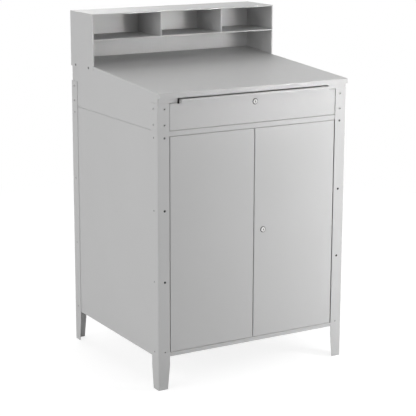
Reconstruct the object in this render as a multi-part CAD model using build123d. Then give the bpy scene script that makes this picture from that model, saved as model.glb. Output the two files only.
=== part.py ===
from build123d import *
import math
import os

# Cabinet shop desk in folded sheet steel.
# Millimetres. +Z is up, +X is to the right of a person who faces the doors, +Y runs to the back.
# The origin is on the floor, at the centre of the rectangle that the four angle legs enclose.

# ---------------------------------------------------------------- driving dimensions
WIDTH = 876.0  # over the legs
DEPTH = 762.0  # over the legs
LEG_HEIGHT = 1145.0
SEAM_DROP = 107.0  # joint between the lower cabinet and the desk body, below the top of the legs
SEAM_GAP = 1.0
PANEL_BOTTOM = 133.5  # underside of the cabinet above the floor

LEG_SHEET = 2.0
PANEL_SHEET = 1.2
TRAY_SHEET = 1.0
GUIDE_SHEET = 1.5
RISER_SHEET = 2.0
BEND = 2.5  # outside radius of an ordinary fold
LEG_BEND = 4.0
FIT = 0.3  # gap between pieces that slip past each other

LEG_FRONT_FLANGE = 51.5
LEG_SIDE_FLANGE = 54.0
FOOT_WIDTH = 42.0
TAPER_HEIGHT = 97.0
PANEL_RETURN = 42.0  # fold of a side panel behind the front and rear leg flanges

# Fastener rows on each leg flange: two bolts in the desk body, four screws in the cabinet
BOLT_DROP = 21.0  # upper bolt below the top of the leg
BOLT_ABOVE_SEAM = 24.0
SCREW_BELOW_SEAM = 26.0
SCREW_UP = 22.0  # lowest screw above the underside of the cabinet
SCREW_COUNT = 4
SCREW_INSET = 30.0  # from the outer corner of the leg
BOLT_R = 3.0
BOLT_HEAD_R = 5.6
BOLT_HEAD = 2.6
BOLT_LENGTH = 12.0
NUT_AF = 10.0
NUT_HEIGHT = 5.0
SCREW_R = 2.2
SCREW_HEAD_R = 4.2
SCREW_HEAD = 1.4
SCREW_LENGTH = 9.0
HEAD_TAPER = 35.0  # degrees, side of a screw head
HOLE_CLEARANCE = 0.15  # radial, screw in sheet
SMALL_SIDES = 6  # small screws and the holes that they fill are drawn with this many sides
ROUND_SIDES = 24  # pins, bushing bores and lock parts are drawn with this many sides
PAST = 1.0  # a cutter runs this far past the sheet that it cuts
NEAR = 0.1  # edges are picked by their place within this distance

# Sloping desktop
DESK_RISE = 40.7  # top of the front edge above the legs
DESK_SLOPE = 4.0  # degrees, rising to the back
DESK_OVERHANG = 14.0  # lip in front of the body
LIP_HEIGHT = 21.2
DESK_BEND = 3.0
SHELL_REAR = 9.0  # the side walls stop this far short of the rear leg face
BRIDGE_UP = 23.0  # underside of the bridge over the pull, above the legs
BRIDGE_HEIGHT = 14.0
NOTCH_INSET = 88.0  # end of the notch in the drawer frame, from the outer corner of the leg
FRAME_STILE = 46.5
BACK_RETURN = 18.0

# Floor, top and shelf of the cabinet
FLOOR_APRON = 16.9
RAIL_HEIGHT = 21.2
RAIL_RETURN = 14.0
STOP_LIP = 8.0
SHELF_UP = 432.6  # above the cabinet floor
SHELF_FRONT_GAP = 26.6  # between the doors and the shelf
SHELF_FOLD = 22.0
SHELF_BRACKET = 20.0
SHELF_PLAY = 2.0  # between the shelf and the sheets around it

# Doors
FACE_SET = 1.0  # doors and drawer front sit this far behind the leg faces
DOOR_DEPTH = 18.0
DOOR_SIDE_GAP = 3.0
DOOR_MIDDLE_GAP = 3.0
DOOR_TOP_GAP = 1.0
DOOR_BOTTOM_GAP = 1.2
DOOR_STOP_GAP = 0.5
PIVOT_INSET = 8.0  # from the outer edge of the door
PIVOT_DEPTH = 7.5  # behind the door face
PIN_R = 3.0
PIN_COLLAR_R = 4.5
PIN_COLLAR = 3.0
PIN_REACH = 6.0  # pin beyond the edge of the door
BUSH_R = 4.2
BUSH_FIT = 0.05
BUSH_FLANGE_R = 6.0
BUSH_FLANGE = 0.6
BUSH_LENGTH = 3.6
STIFFENER_BASE = 60.0
STIFFENER_CROWN = 30.0
STIFFENER_DEPTH = 11.0
STIFFENER_END = 20.0

# Bolt on the inside of the left door
BOLT_ROD_R = 4.0
BOLT_ROD_INSET = 24.0  # from the middle of the cabinet
BOLT_ROD_DEPTH = 9.0  # rod centre behind the door face
BOLT_ROD_LENGTH = 130.0
BOLT_ROD_DROP = 3.0  # tip below the door edge when drawn
BOLT_FIT = 0.4
GUIDE_STRAP = 16.0
GUIDE_FOOT = 10.0
GUIDE_LOW = 25.0
GUIDE_HIGH = 105.0
KNOB_R = 3.5
KNOB_LENGTH = 20.0
KNOB_UP = 62.0

# Drawer
DRAWER_SIDE_GAP = 1.5
DRAWER_BOTTOM_GAP = 1.3
DRAWER_TOP_GAP = 1.0
DRAWER_FRONT_DEPTH = 26.0
DRAWER_TRAVEL = 400.0
TRAY_INSET = 72.0  # wall of the tray, from the outer corner of the leg
TRAY_LENGTH = 544.0
TRAY_LIFT = 7.5  # tray floor above the cabinet top
TRAY_HEIGHT = 74.0
SLIDE_UP = 44.0  # slide flange above the tray floor
SLIDE_WALL = 20.0
SLIDE_FLANGE = 18.0
SLIDE_END = 4.0  # slide stops this far short of the ends of the tray
GUIDE_PLAY = 2.5  # sideways, between the slide and its channel
CHANNEL_HEIGHT = 8.0
CHANNEL_LENGTH = 550.0
STOP_TAB = 5.0
STOP_PLAY = 1.0
BRACKET_HEIGHT = 22.0
BRACKET_FOOT = 26.0
BRACKET_PLACES = (40.0, 500.0)

# Pull along the top of the drawer front
PULL_END_GAP = 8.0  # between the pull and the end of the notch
PULL_REACH = 17.2  # in front of the drawer face
PULL_UP = 14.5  # top of the pull above the legs
PULL_HEIGHT = 15.8
RELIEF_DROP = 3.0  # edge beside the pull, below the top of the drawer front

# Cam locks
DRAWER_LOCK_DROP = 21.2  # below the top of the drawer front
DOOR_LOCK_X = 43.2
DOOR_LOCK_UP = 447.3  # above the bottom of the door
LOCK_FACE_R = 12.5
LOCK_FACE = 2.5
LOCK_FACE_TAPER = 25.0
LOCK_BARREL_R = 9.5
LOCK_PLUG_R = 6.0
LOCK_TAIL_R = 4.0
LOCK_FIT = 0.05
LOCK_NUT_R = 13.0
LOCK_NUT = 4.0
KEYWAY_WIDTH = 1.6
KEYWAY_HEIGHT = 7.0
KEYWAY_DEPTH = 4.0
DRAWER_BARREL = 16.0
DOOR_BARREL = 19.0
CAM_GAP = 1.5  # cam behind the end of the barrel
CAM_SHEET = 2.0
CAM_WIDTH = 12.0
DRAWER_CAM = 24.0
DOOR_CAM = 55.0
STRIKE_WIDTH = 44.0
STRIKE_DROP = 5.0  # lower edge of the strike below the legs
STRIKE_GAP = 1.5

# Riser with pigeonholes
RISER_DEPTH = 210.0
RISER_UP = 62.0  # lower edge of the riser above the legs
RISER_HEIGHT = 231.6
RISER_RETURN = 6.0
RISER_BEND = 2.5
RISER_TOP_FOLD = 5.0
PIGEONHOLE_HEIGHT = 104.6  # riser shelf to the top of the riser
RISER_SHELF_FOLD = 5.0
RISER_SHELF_TAB = 10.0
RISER_SHELF_BEND = 2.0
DIVIDER_PLACES = (-117.0, 177.0)
DIVIDER_HEM = 4.5
DIVIDER_HEM_DEPTH = 8.0
HEM_BEND = 1.6
RISER_SCREW_Y = (42.5, 165.7)  # behind the riser front
RISER_SCREW_UP = 7.8

# ---------------------------------------------------------------- derived planes
HALF_W = WIDTH / 2
HALF_D = DEPTH / 2
BODY_X = HALF_W - LEG_SHEET  # outer face of the side walls
BODY_Y = HALF_D - LEG_SHEET  # outer face of the front frame and of the back
INNER_X = BODY_X - PANEL_SHEET
SEAM_Z = LEG_HEIGHT - SEAM_DROP
CABINET_TOP = SEAM_Z - SEAM_GAP / 2
DESK_BASE = SEAM_Z + SEAM_GAP / 2
FLOOR_Z = PANEL_BOTTOM + FLOOR_APRON
RAIL_BOTTOM = CABINET_TOP - RAIL_HEIGHT
SHELF_Z = FLOOR_Z + SHELF_UP
FLANGE_EDGE = HALF_W - LEG_FRONT_FLANGE
DOOR_EDGE = FLANGE_EDGE - DOOR_SIDE_GAP
DOOR_MIDDLE = DOOR_MIDDLE_GAP / 2
FACE_Y = -HALF_D + FACE_SET
DOOR_BACK = FACE_Y + DOOR_DEPTH
DOOR_BOTTOM = FLOOR_Z + DOOR_BOTTOM_GAP
DOOR_TOP = RAIL_BOTTOM - DOOR_TOP_GAP
PIVOT_X = DOOR_EDGE - PIVOT_INSET
PIVOT_Y = FACE_Y + PIVOT_DEPTH
DESK_FRONT_Z = LEG_HEIGHT + DESK_RISE
LIP_BOTTOM = DESK_FRONT_Z - LIP_HEIGHT
DRAWER_BRIDGE_Z = LEG_HEIGHT + BRIDGE_UP
REAR_SHEET_Y = BODY_Y - PANEL_SHEET  # outer face of the cabinet back
BACK_INNER_Y = REAR_SHEET_Y - PANEL_SHEET
FRAME_X = min(INNER_X - FIT, HALF_W - LEG_BEND)  # sheets between the side walls
RISER_BOTTOM = LEG_HEIGHT + RISER_UP
HEIGHT = RISER_BOTTOM + RISER_HEIGHT
RISER_SHELF_Z = HEIGHT - PIGEONHOLE_HEIGHT
RISER_FRONT = HALF_D - RISER_DEPTH
RISER_INNER_X = HALF_W - RISER_SHEET
RISER_INNER_TOP = HEIGHT - RISER_SHEET
DRAWER_EDGE = FLANGE_EDGE - DRAWER_SIDE_GAP
DRAWER_BASE = CABINET_TOP + DRAWER_BOTTOM_GAP
DRAWER_TOP = LEG_HEIGHT - DRAWER_TOP_GAP
DRAWER_LOCK_Z = DRAWER_TOP - DRAWER_LOCK_DROP
DOOR_LOCK_Z = DOOR_BOTTOM + DOOR_LOCK_UP
NOTCH_HALF = HALF_W - NOTCH_INSET
TRAY_HALF = HALF_W - TRAY_INSET
TRAY_FRONT = FACE_Y + DRAWER_FRONT_DEPTH
TRAY_FLOOR = CABINET_TOP + TRAY_LIFT
SLIDE_Z = TRAY_FLOOR + SLIDE_UP  # top of the sliding flange
CHANNEL_TIP = TRAY_HALF + GUIDE_SHEET + GUIDE_PLAY  # open edge of the channel
CHANNEL_WEB = TRAY_HALF + SLIDE_FLANGE + GUIDE_PLAY  # inner face of the channel web
CHANNEL_Y = TRAY_FRONT + FIT  # the closed drawer front rests against the channel ends
CHANNEL_BASE = SLIDE_Z - GUIDE_SHEET - FIT  # upper face of the channel floor


def desk_z(y):
    """Height of the sloping desktop at a distance along Y."""
    nose = -BODY_Y - DESK_OVERHANG
    return DESK_FRONT_Z + (y - nose) * math.tan(math.radians(DESK_SLOPE))


# ---------------------------------------------------------------- sheet-metal helpers
def plane_across(axis, start):
    """Plane whose normal is the given axis; its two coordinates are the other axes in order."""
    if axis == "Z":
        return Plane(origin=(0, 0, start), x_dir=(1, 0, 0), z_dir=(0, 0, 1))
    if axis == "X":
        return Plane(origin=(start, 0, 0), x_dir=(0, 1, 0), z_dir=(1, 0, 0))
    return Plane(origin=(0, start, 0), x_dir=(1, 0, 0), z_dir=(0, -1, 0))


def folded(axis, start, end, points, thick=PANEL_SHEET, bend=BEND, side=Side.LEFT):
    """Sheet folded along points, which follow one of its faces, from start to end of an axis."""
    path = FilletPolyline(*points, radius=bend) if bend else Polyline(*points)
    section = make_face(offset(path, amount=thick, side=side, kind=Kind.INTERSECTION))
    length = start - end if axis == "Y" else end - start
    return extrude(plane_across(axis, start) * section, length)


def flat(axis, start, thick, points):
    """Flat sheet cut to an outline, from start along an axis."""
    section = make_face(Polyline(*points, close=True))
    return extrude(plane_across(axis, start) * section, -thick if axis == "Y" else thick)


def outline(low, high):
    """Corners of a rectangle."""
    return [low, (high[0], low[1]), high, (low[0], high[1])]


def block(low, high):
    """Cutting block between two corners."""
    size = [b - a for a, b in zip(low, high)]
    centre = [(a + b) / 2 for a, b in zip(low, high)]
    return Pos(*centre) * Box(*size)


def pan(width, height, depth, thick=PANEL_SHEET, bend=BEND):
    """Flat face on the XY plane with four returns folded down behind it."""
    body = extrude(Rectangle(width, height), -depth)
    body = fillet(body.faces().sort_by(Axis.Z)[-1].edges(), bend)
    return offset(body, -thick, openings=body.faces().sort_by(Axis.Z)[0])


def mirrored(piece):
    """The same piece on the other side of the desk."""
    return mirror(piece, about=Plane.YZ)


def prism_face(radius):
    """Many-sided outline around a circle, for a small hole."""
    return RegularPolygon(radius, SMALL_SIDES, major_radius=False)


def round_face(radius):
    """Many-sided outline inside a circle, for a pin, a barrel or a plug."""
    return RegularPolygon(radius, ROUND_SIDES)


def round_bore(radius):
    """Many-sided outline around a circle, for the bore that a round part turns in."""
    return RegularPolygon(radius, ROUND_SIDES, major_radius=False)


def drilled(piece, axis, radius, places, start, end, small=True):
    """Piece with holes along an axis at the places given in the other two coordinates."""
    length = start - end if axis == "Y" else end - start
    bore = prism_face(radius) if small else Circle(radius)
    for place in places:
        piece = piece - extrude(plane_across(axis, start) * Pos(*place) * bore, length)
    return piece


def hat_section(half_crown, half_base, depth):
    """Points of a hat profile: foot, wall, crown, wall, foot."""
    return [
        (-half_base, 0),
        (-half_crown, 0),
        (-half_crown, depth),
        (half_crown, depth),
        (half_crown, 0),
        (half_base, 0),
    ]


# ---------------------------------------------------------------- fastener places
BOLT_ROWS = (LEG_HEIGHT - BOLT_DROP, SEAM_Z + BOLT_ABOVE_SEAM)
TOP_SCREW = SEAM_Z - SCREW_BELOW_SEAM
SCREW_PITCH = (TOP_SCREW - PANEL_BOTTOM - SCREW_UP) / (SCREW_COUNT - 1)
SCREW_ROWS = [TOP_SCREW - i * SCREW_PITCH for i in range(SCREW_COUNT)]
FRONT_X = HALF_W - SCREW_INSET
SIDE_Y = HALF_D - SCREW_INSET
BOLT_HOLE = BOLT_R + HOLE_CLEARANCE
SCREW_HOLE = SCREW_R + HOLE_CLEARANCE


def rows(value, heights):
    """Fastener places at one offset and several heights."""
    return [(value, z) for z in heights]


def leg_holes(piece, axis, places, start, end):
    """Bolt and screw holes through a sheet that the leg fasteners pass."""
    for value in places:
        piece = drilled(piece, axis, BOLT_HOLE, rows(value, BOLT_ROWS), start, end)
        piece = drilled(piece, axis, SCREW_HOLE, rows(value, SCREW_ROWS), start, end)
    return piece


def fastener(head_r, head, shank_r, length):
    """Screw with a tapered head: underside of the head on the XY plane, shank down the -Z axis."""
    dome = extrude(RegularPolygon(head_r, SMALL_SIDES), head, taper=HEAD_TAPER)
    return dome + extrude(RegularPolygon(shank_r, SMALL_SIDES), -length)


def on_legs(piece, heights):
    """Copies of a fastener on the front, rear and side flanges of the four legs."""
    copies = []
    for sx in (-1, 1):
        for sy in (-1, 1):
            for z in heights:
                face = Plane(origin=(sx * FRONT_X, sy * HALF_D, z), x_dir=(1, 0, 0), z_dir=(0, sy, 0))
                side = Plane(origin=(sx * HALF_W, sy * SIDE_Y, z), x_dir=(0, 1, 0), z_dir=(sx, 0, 0))
                copies += [face * piece, side * piece]
    return copies


# ---------------------------------------------------------------- legs
def left_leg(rear):
    """Angle leg at the left, with its corner at the front, or at the back when rear is true."""
    s = 1 if rear else -1
    corner = (-HALF_W, s * HALF_D)
    front_end = (-FLANGE_EDGE, s * HALF_D)
    side_end = (-HALF_W, s * (HALF_D - LEG_SIDE_FLANGE))
    side = Side.LEFT if rear else Side.RIGHT
    leg = folded("Z", 0, LEG_HEIGHT, [front_end, corner, side_end], LEG_SHEET, LEG_BEND, side)
    taper_x = [
        (-FLANGE_EDGE, TAPER_HEIGHT),
        (-HALF_W + FOOT_WIDTH, 0),
        (-HALF_W + FOOT_WIDTH, -PAST),
        (-FLANGE_EDGE + PAST, -PAST),
        (-FLANGE_EDGE + PAST, TAPER_HEIGHT),
    ]
    inner = s * (HALF_D - LEG_SIDE_FLANGE)
    foot = s * (HALF_D - FOOT_WIDTH)
    past = inner - s * PAST
    taper_y = [(inner, TAPER_HEIGHT), (foot, 0), (foot, -PAST), (past, -PAST), (past, TAPER_HEIGHT)]
    low_y = min(s * HALF_D, s * BODY_Y) - PAST
    through = LEG_SHEET + 2 * PAST
    leg = leg - flat("Y", low_y, through, taper_x)
    leg = leg - flat("X", -HALF_W - PAST, through, taper_y)
    leg = leg_holes(leg, "Y", [-FRONT_X], low_y, low_y + through)
    return leg_holes(leg, "X", [s * SIDE_Y], -HALF_W - PAST, -BODY_X + PAST)


# ---------------------------------------------------------------- lower cabinet
def side_panel():
    """Left side of the cabinet, folded behind the front and rear leg flanges."""
    reach = BODY_X - PANEL_RETURN
    points = [(-reach, -BODY_Y), (-BODY_X, -BODY_Y), (-BODY_X, BODY_Y), (-reach, BODY_Y)]
    panel = folded("Z", PANEL_BOTTOM, CABINET_TOP, points, side=Side.RIGHT)
    front = (-BODY_Y - PAST, -BODY_Y + BEND + FIT)
    for low, high in ((PANEL_BOTTOM - PAST, FLOOR_Z + FIT), (RAIL_BOTTOM - FIT, CABINET_TOP + PAST)):
        panel = panel - block((-INNER_X, front[0], low), (-reach + PAST, front[1], high))
    panel = drilled(panel, "Y", SCREW_HOLE, rows(-FRONT_X, SCREW_ROWS), -HALF_D, -REAR_SHEET_Y + PAST)
    panel = drilled(panel, "Y", SCREW_HOLE, rows(-FRONT_X, SCREW_ROWS), REAR_SHEET_Y - PAST, HALF_D)
    places = rows(-SIDE_Y, SCREW_ROWS) + rows(SIDE_Y, SCREW_ROWS)
    return drilled(panel, "X", SCREW_HOLE, places, -HALF_W, -INNER_X + PAST)


def cabinet_back():
    """Flat back of the cabinet, inside the rear returns of the side panels."""
    half = BODY_X - BEND
    sheet = outline((-half, PANEL_BOTTOM), (half, CABINET_TOP))
    back = flat("Y", BACK_INNER_Y, PANEL_SHEET, sheet)
    places = rows(-FRONT_X, SCREW_ROWS) + rows(FRONT_X, SCREW_ROWS)
    return drilled(back, "Y", SCREW_HOLE, places, BACK_INNER_Y - PAST, HALF_D)


def end_flanges(low, high, rear):
    """Pair of side flanges under a horizontal sheet."""
    piece = flat("X", FRAME_X - PANEL_SHEET, PANEL_SHEET, outline((-BODY_Y + BEND, low), (rear, high)))
    return piece + mirrored(piece)


def pivot_places():
    """Axes of the two doors, left then right."""
    return [(-PIVOT_X, PIVOT_Y), (PIVOT_X, PIVOT_Y)]


def cabinet_floor():
    """Floor sheet with a front apron, a rear flange and side flanges."""
    rear = BACK_INNER_Y - FIT
    points = [
        (rear, PANEL_BOTTOM),
        (rear, FLOOR_Z),
        (-BODY_Y, FLOOR_Z),
        (-BODY_Y, PANEL_BOTTOM),
        (-BODY_Y + RAIL_RETURN, PANEL_BOTTOM),
    ]
    floor = folded("X", -FRAME_X, FRAME_X, points)
    floor = floor + end_flanges(PANEL_BOTTOM + PANEL_SHEET, FLOOR_Z - PANEL_SHEET / 2, rear - BEND)
    return drilled(floor, "Z", BUSH_R, pivot_places(), FLOOR_Z - BUSH_LENGTH, FLOOR_Z + PAST)


def cabinet_top():
    """Top sheet whose front fold is the rail over the doors, ending in the lip that stops them."""
    rear = BACK_INNER_Y - FIT
    stop = DOOR_BACK + DOOR_STOP_GAP
    points = [
        (rear, RAIL_BOTTOM),
        (rear, CABINET_TOP),
        (-BODY_Y, CABINET_TOP),
        (-BODY_Y, RAIL_BOTTOM),
        (stop, RAIL_BOTTOM),
        (stop, RAIL_BOTTOM - STOP_LIP),
    ]
    top = folded("X", -FRAME_X, FRAME_X, points)
    top = top + end_flanges(RAIL_BOTTOM + PANEL_SHEET, CABINET_TOP - PANEL_SHEET / 2, rear - BEND)
    top = drilled(top, "Z", BUSH_R, pivot_places(), RAIL_BOTTOM - PAST, RAIL_BOTTOM + BUSH_LENGTH)
    bolt = [(-BOLT_ROD_INSET, FACE_Y + BOLT_ROD_DEPTH)]
    top = drilled(top, "Z", BOLT_ROD_R + BOLT_FIT, bolt, RAIL_BOTTOM - PAST, RAIL_BOTTOM + BUSH_LENGTH)
    sweep = math.hypot(PIVOT_INSET, DOOR_DEPTH - PIVOT_DEPTH)  # rear corner of a door about its pins
    low = (-FRAME_X - PAST, stop - BEND, RAIL_BOTTOM - STOP_LIP - PAST)
    corner = block(low, (-PIVOT_X + sweep, stop + BEND, RAIL_BOTTOM - FIT))
    return top - corner - mirrored(corner)


def shelf_ends():
    """Front and rear edge of the cabinet shelf."""
    return DOOR_BACK + SHELF_FRONT_GAP, BACK_INNER_Y - SHELF_PLAY


def cabinet_shelf():
    """Shelf with four folds down, resting on the brackets."""
    front, rear = shelf_ends()
    centre = (0, (front + rear) / 2, SHELF_Z)
    tray = pan(2 * (INNER_X - SHELF_PLAY), rear - front, SHELF_FOLD)
    return Plane(origin=centre, x_dir=(1, 0, 0), z_dir=(0, 0, 1)) * tray


def shelf_bracket():
    """Angle on the left side panel that carries the shelf."""
    seat = SHELF_Z - SHELF_FOLD
    front, rear = shelf_ends()
    points = [(-INNER_X, seat - SHELF_BRACKET), (-INNER_X, seat), (-INNER_X + SHELF_BRACKET, seat)]
    return folded("Y", front, rear - PANEL_RETURN, points, GUIDE_SHEET, BEND, Side.RIGHT)


# ---------------------------------------------------------------- desk body
def desk_form(inset):
    """Filleted block with the outside form of the desk body, or the space inside its sheet."""
    nose = -BODY_Y - DESK_OVERHANG + inset
    drop = inset / math.cos(math.radians(DESK_SLOPE))
    rear = HALF_D - SHELL_REAR + inset
    half = BODY_X - inset
    side = [
        (-BODY_Y, DESK_BASE - inset),
        (rear, DESK_BASE - inset),
        (rear, desk_z(rear) - drop),
        (nose, desk_z(nose) - drop),
        (nose, LIP_BOTTOM + inset),
        (-BODY_Y, LIP_BOTTOM + inset),
    ]
    body = flat("X", -half, 2 * half, side)
    upper = body.edges().filter_by(lambda e: e.center().Z > desk_z(nose) - drop - NEAR)
    sloped = upper.filter_by(lambda e: abs(e.center().X) > half - NEAR and e.length > DEPTH / 2)
    front = upper.filter_by(lambda e: abs(e.center().Y - nose) < NEAR and abs(e.center().X) < NEAR)
    return fillet(sloped + front, DESK_BEND - inset)


def desktop_shell():
    """Sloping top and both side walls in one sheet, with the closed lip along the front."""
    shell = desk_form(0) - desk_form(PANEL_SHEET)
    behind_leg = block((-HALF_W, -HALF_D, DESK_BASE - PAST), (-INNER_X, -HALF_D + LEG_BEND, LEG_HEIGHT))
    shell = shell - behind_leg - mirrored(behind_leg)
    places = rows(-SIDE_Y, BOLT_ROWS) + rows(SIDE_Y, BOLT_ROWS)
    shell = drilled(shell, "X", BOLT_HOLE, places, -HALF_W, HALF_W)
    riser = [(RISER_FRONT + y, RISER_BOTTOM + RISER_SCREW_UP) for y in RISER_SCREW_Y]
    return drilled(shell, "X", SCREW_HOLE, riser, -HALF_W, HALF_W)


def drawer_frame():
    """Front frame of the desk body: stiles behind the legs and a notched strip over the drawer."""
    strip_top = DRAWER_BRIDGE_Z + BRIDGE_HEIGHT
    rear = -BODY_Y + RAIL_RETURN
    points = [(rear, LEG_HEIGHT), (-BODY_Y, LEG_HEIGHT), (-BODY_Y, strip_top)]
    strip = folded("X", -FRAME_X, FRAME_X, points, side=Side.RIGHT)
    for sx in (-1, 1):
        ends = sorted((sx * FRAME_X, sx * (FRAME_X - FRAME_STILE)))
        stile = outline((ends[0], DESK_BASE), (ends[1], LEG_HEIGHT + BEND))
        strip = strip + flat("Y", -BODY_Y, PANEL_SHEET, stile)
    low = (-NOTCH_HALF, -BODY_Y - PAST, LEG_HEIGHT - PAST)
    strip = strip - block(low, (NOTCH_HALF, rear + PAST, DRAWER_BRIDGE_Z))
    places = rows(-FRONT_X, BOLT_ROWS) + rows(FRONT_X, BOLT_ROWS)
    return drilled(strip, "Y", BOLT_HOLE, places, -HALF_D, -REAR_SHEET_Y + PAST)


def desk_back():
    """Back of the desk body, between the side walls."""
    top = desk_z(HALF_D - SHELL_REAR) - 2 * PANEL_SHEET
    front = BODY_Y - BACK_RETURN
    points = [(-FRAME_X, front), (-FRAME_X, BODY_Y), (FRAME_X, BODY_Y), (FRAME_X, front)]
    back = folded("Z", DESK_BASE, top, points, side=Side.RIGHT)
    places = rows(-FRONT_X, BOLT_ROWS) + rows(FRONT_X, BOLT_ROWS)
    return drilled(back, "Y", BOLT_HOLE, places, REAR_SHEET_Y - PAST, HALF_D)


def drawer_channel():
    """Left guide channel, open towards the drawer, with the stop tab at its front end."""
    low = CHANNEL_BASE - GUIDE_SHEET
    high = CHANNEL_BASE + CHANNEL_HEIGHT + GUIDE_SHEET
    web = CHANNEL_WEB + GUIDE_SHEET
    points = [(-CHANNEL_TIP, low), (-web, low), (-web, high), (-CHANNEL_TIP, high)]
    channel = folded("Y", CHANNEL_Y, CHANNEL_Y + CHANNEL_LENGTH, points, GUIDE_SHEET, BEND, Side.RIGHT)
    drop = high - GUIDE_SHEET - STOP_TAB
    tab = outline((-CHANNEL_WEB + BEND, drop), (-CHANNEL_TIP, high - GUIDE_SHEET / 2))
    return channel + flat("Y", CHANNEL_Y, GUIDE_SHEET, tab)


def channel_brackets():
    """Z brackets that stand the left guide channel off the side wall."""
    foot = CHANNEL_WEB + 2 * GUIDE_SHEET
    low = CHANNEL_BASE + (CHANNEL_HEIGHT - BRACKET_HEIGHT) / 2
    pieces = []
    for place in BRACKET_PLACES:
        y = CHANNEL_Y + place
        points = [(-INNER_X, y - BRACKET_FOOT), (-INNER_X, y), (-foot, y), (-foot, y + BRACKET_FOOT)]
        pieces.append(folded("Z", low, low + BRACKET_HEIGHT, points, GUIDE_SHEET, 0, Side.RIGHT))
    return pieces


def lock_strike():
    """Bracket behind the drawer bridge that the drawer cam turns up behind."""
    behind = FACE_Y + DRAWER_BARREL + CAM_GAP - STRIKE_GAP - PANEL_SHEET
    inner = -BODY_Y + PANEL_SHEET
    top = DRAWER_BRIDGE_Z + BRIDGE_HEIGHT - FIT
    low = LEG_HEIGHT - STRIKE_DROP
    points = [(inner, top), (inner, DRAWER_BRIDGE_Z), (behind, DRAWER_BRIDGE_Z), (behind, low)]
    return folded("X", -STRIKE_WIDTH / 2, STRIKE_WIDTH / 2, points, bend=0)


# ---------------------------------------------------------------- riser
def riser_side():
    """Left side of the riser, lapped over the outside of the desk body."""
    edge = HALF_W - RISER_RETURN
    points = [(-edge, RISER_FRONT), (-HALF_W, RISER_FRONT), (-HALF_W, HALF_D)]
    side = folded("Z", RISER_BOTTOM, RISER_INNER_TOP, points, RISER_SHEET, RISER_BEND, Side.RIGHT)
    above_desk = desk_z(RISER_FRONT + BEND) + FIT
    behind = RISER_FRONT + RISER_BEND + PAST
    low = (-RISER_INNER_X, RISER_FRONT - PAST, RISER_BOTTOM - PAST)
    side = side - block(low, (-edge + PAST, behind, above_desk))
    low = (-RISER_INNER_X, RISER_FRONT - PAST, HEIGHT - RISER_TOP_FOLD - FIT)
    side = side - block(low, (-edge + PAST, behind, HEIGHT))
    places = [(RISER_FRONT + y, RISER_BOTTOM + RISER_SCREW_UP) for y in RISER_SCREW_Y]
    return drilled(side, "X", SCREW_HOLE, places, -HALF_W - PAST, -RISER_INNER_X + PAST)


def riser_back():
    """Back of the riser, between its sides and over the back of the desk body."""
    sheet = outline((-RISER_INNER_X, RISER_BOTTOM), (RISER_INNER_X, RISER_INNER_TOP))
    return flat("Y", BODY_Y, RISER_SHEET, sheet)


def riser_top():
    """Top of the riser with a shallow fold along the front."""
    points = [(HALF_D, HEIGHT), (RISER_FRONT, HEIGHT), (RISER_FRONT, HEIGHT - RISER_TOP_FOLD)]
    top = folded("X", -HALF_W, HALF_W, points, RISER_SHEET, RISER_BEND)
    low = (-HALF_W - PAST, RISER_FRONT - PAST, HEIGHT - RISER_TOP_FOLD - PAST)
    trim = block(low, (-RISER_INNER_X, HALF_D, RISER_INNER_TOP))
    return top - trim - mirrored(trim)


def riser_shelf():
    """Shelf of the riser with a shallow front fold and tabs down against the sides and back."""
    rear = BODY_Y - FIT
    front = RISER_FRONT + FIT
    half = RISER_INNER_X - FIT
    points = [
        (rear, RISER_SHELF_Z - RISER_SHELF_TAB),
        (rear, RISER_SHELF_Z),
        (front, RISER_SHELF_Z),
        (front, RISER_SHELF_Z - RISER_SHELF_FOLD),
        (front + RISER_SHELF_TAB, RISER_SHELF_Z - RISER_SHELF_FOLD),
    ]
    shelf = folded("X", -half, half, points, PANEL_SHEET, RISER_SHELF_BEND)
    tab = outline((front + 2 * RISER_SHELF_TAB, RISER_SHELF_Z - RISER_SHELF_TAB),
                  (rear - RISER_SHELF_TAB, RISER_SHELF_Z - PANEL_SHEET / 2))
    tab = flat("X", -half, PANEL_SHEET, tab)
    shelf = shelf + tab + mirrored(tab)
    edge = HALF_W - RISER_RETURN - FIT
    low = (-half - PAST, RISER_FRONT - PAST, RISER_SHELF_Z - RISER_SHELF_TAB)
    notch = block(low, (-edge, RISER_FRONT + RISER_BEND + FIT, RISER_SHELF_Z + PAST))
    return shelf - notch - mirrored(notch)


def riser_divider(x):
    """Upright between pigeonholes, with its front edge hemmed."""
    front = RISER_FRONT + RISER_SHEET + FIT
    points = [
        (x + DIVIDER_HEM / 2, front + DIVIDER_HEM_DEPTH),
        (x + DIVIDER_HEM / 2, front),
        (x - DIVIDER_HEM / 2, front),
        (x - DIVIDER_HEM / 2, BODY_Y - FIT),
    ]
    return folded("Z", RISER_SHELF_Z, RISER_INNER_TOP, points, PANEL_SHEET, HEM_BEND, Side.RIGHT)


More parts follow.
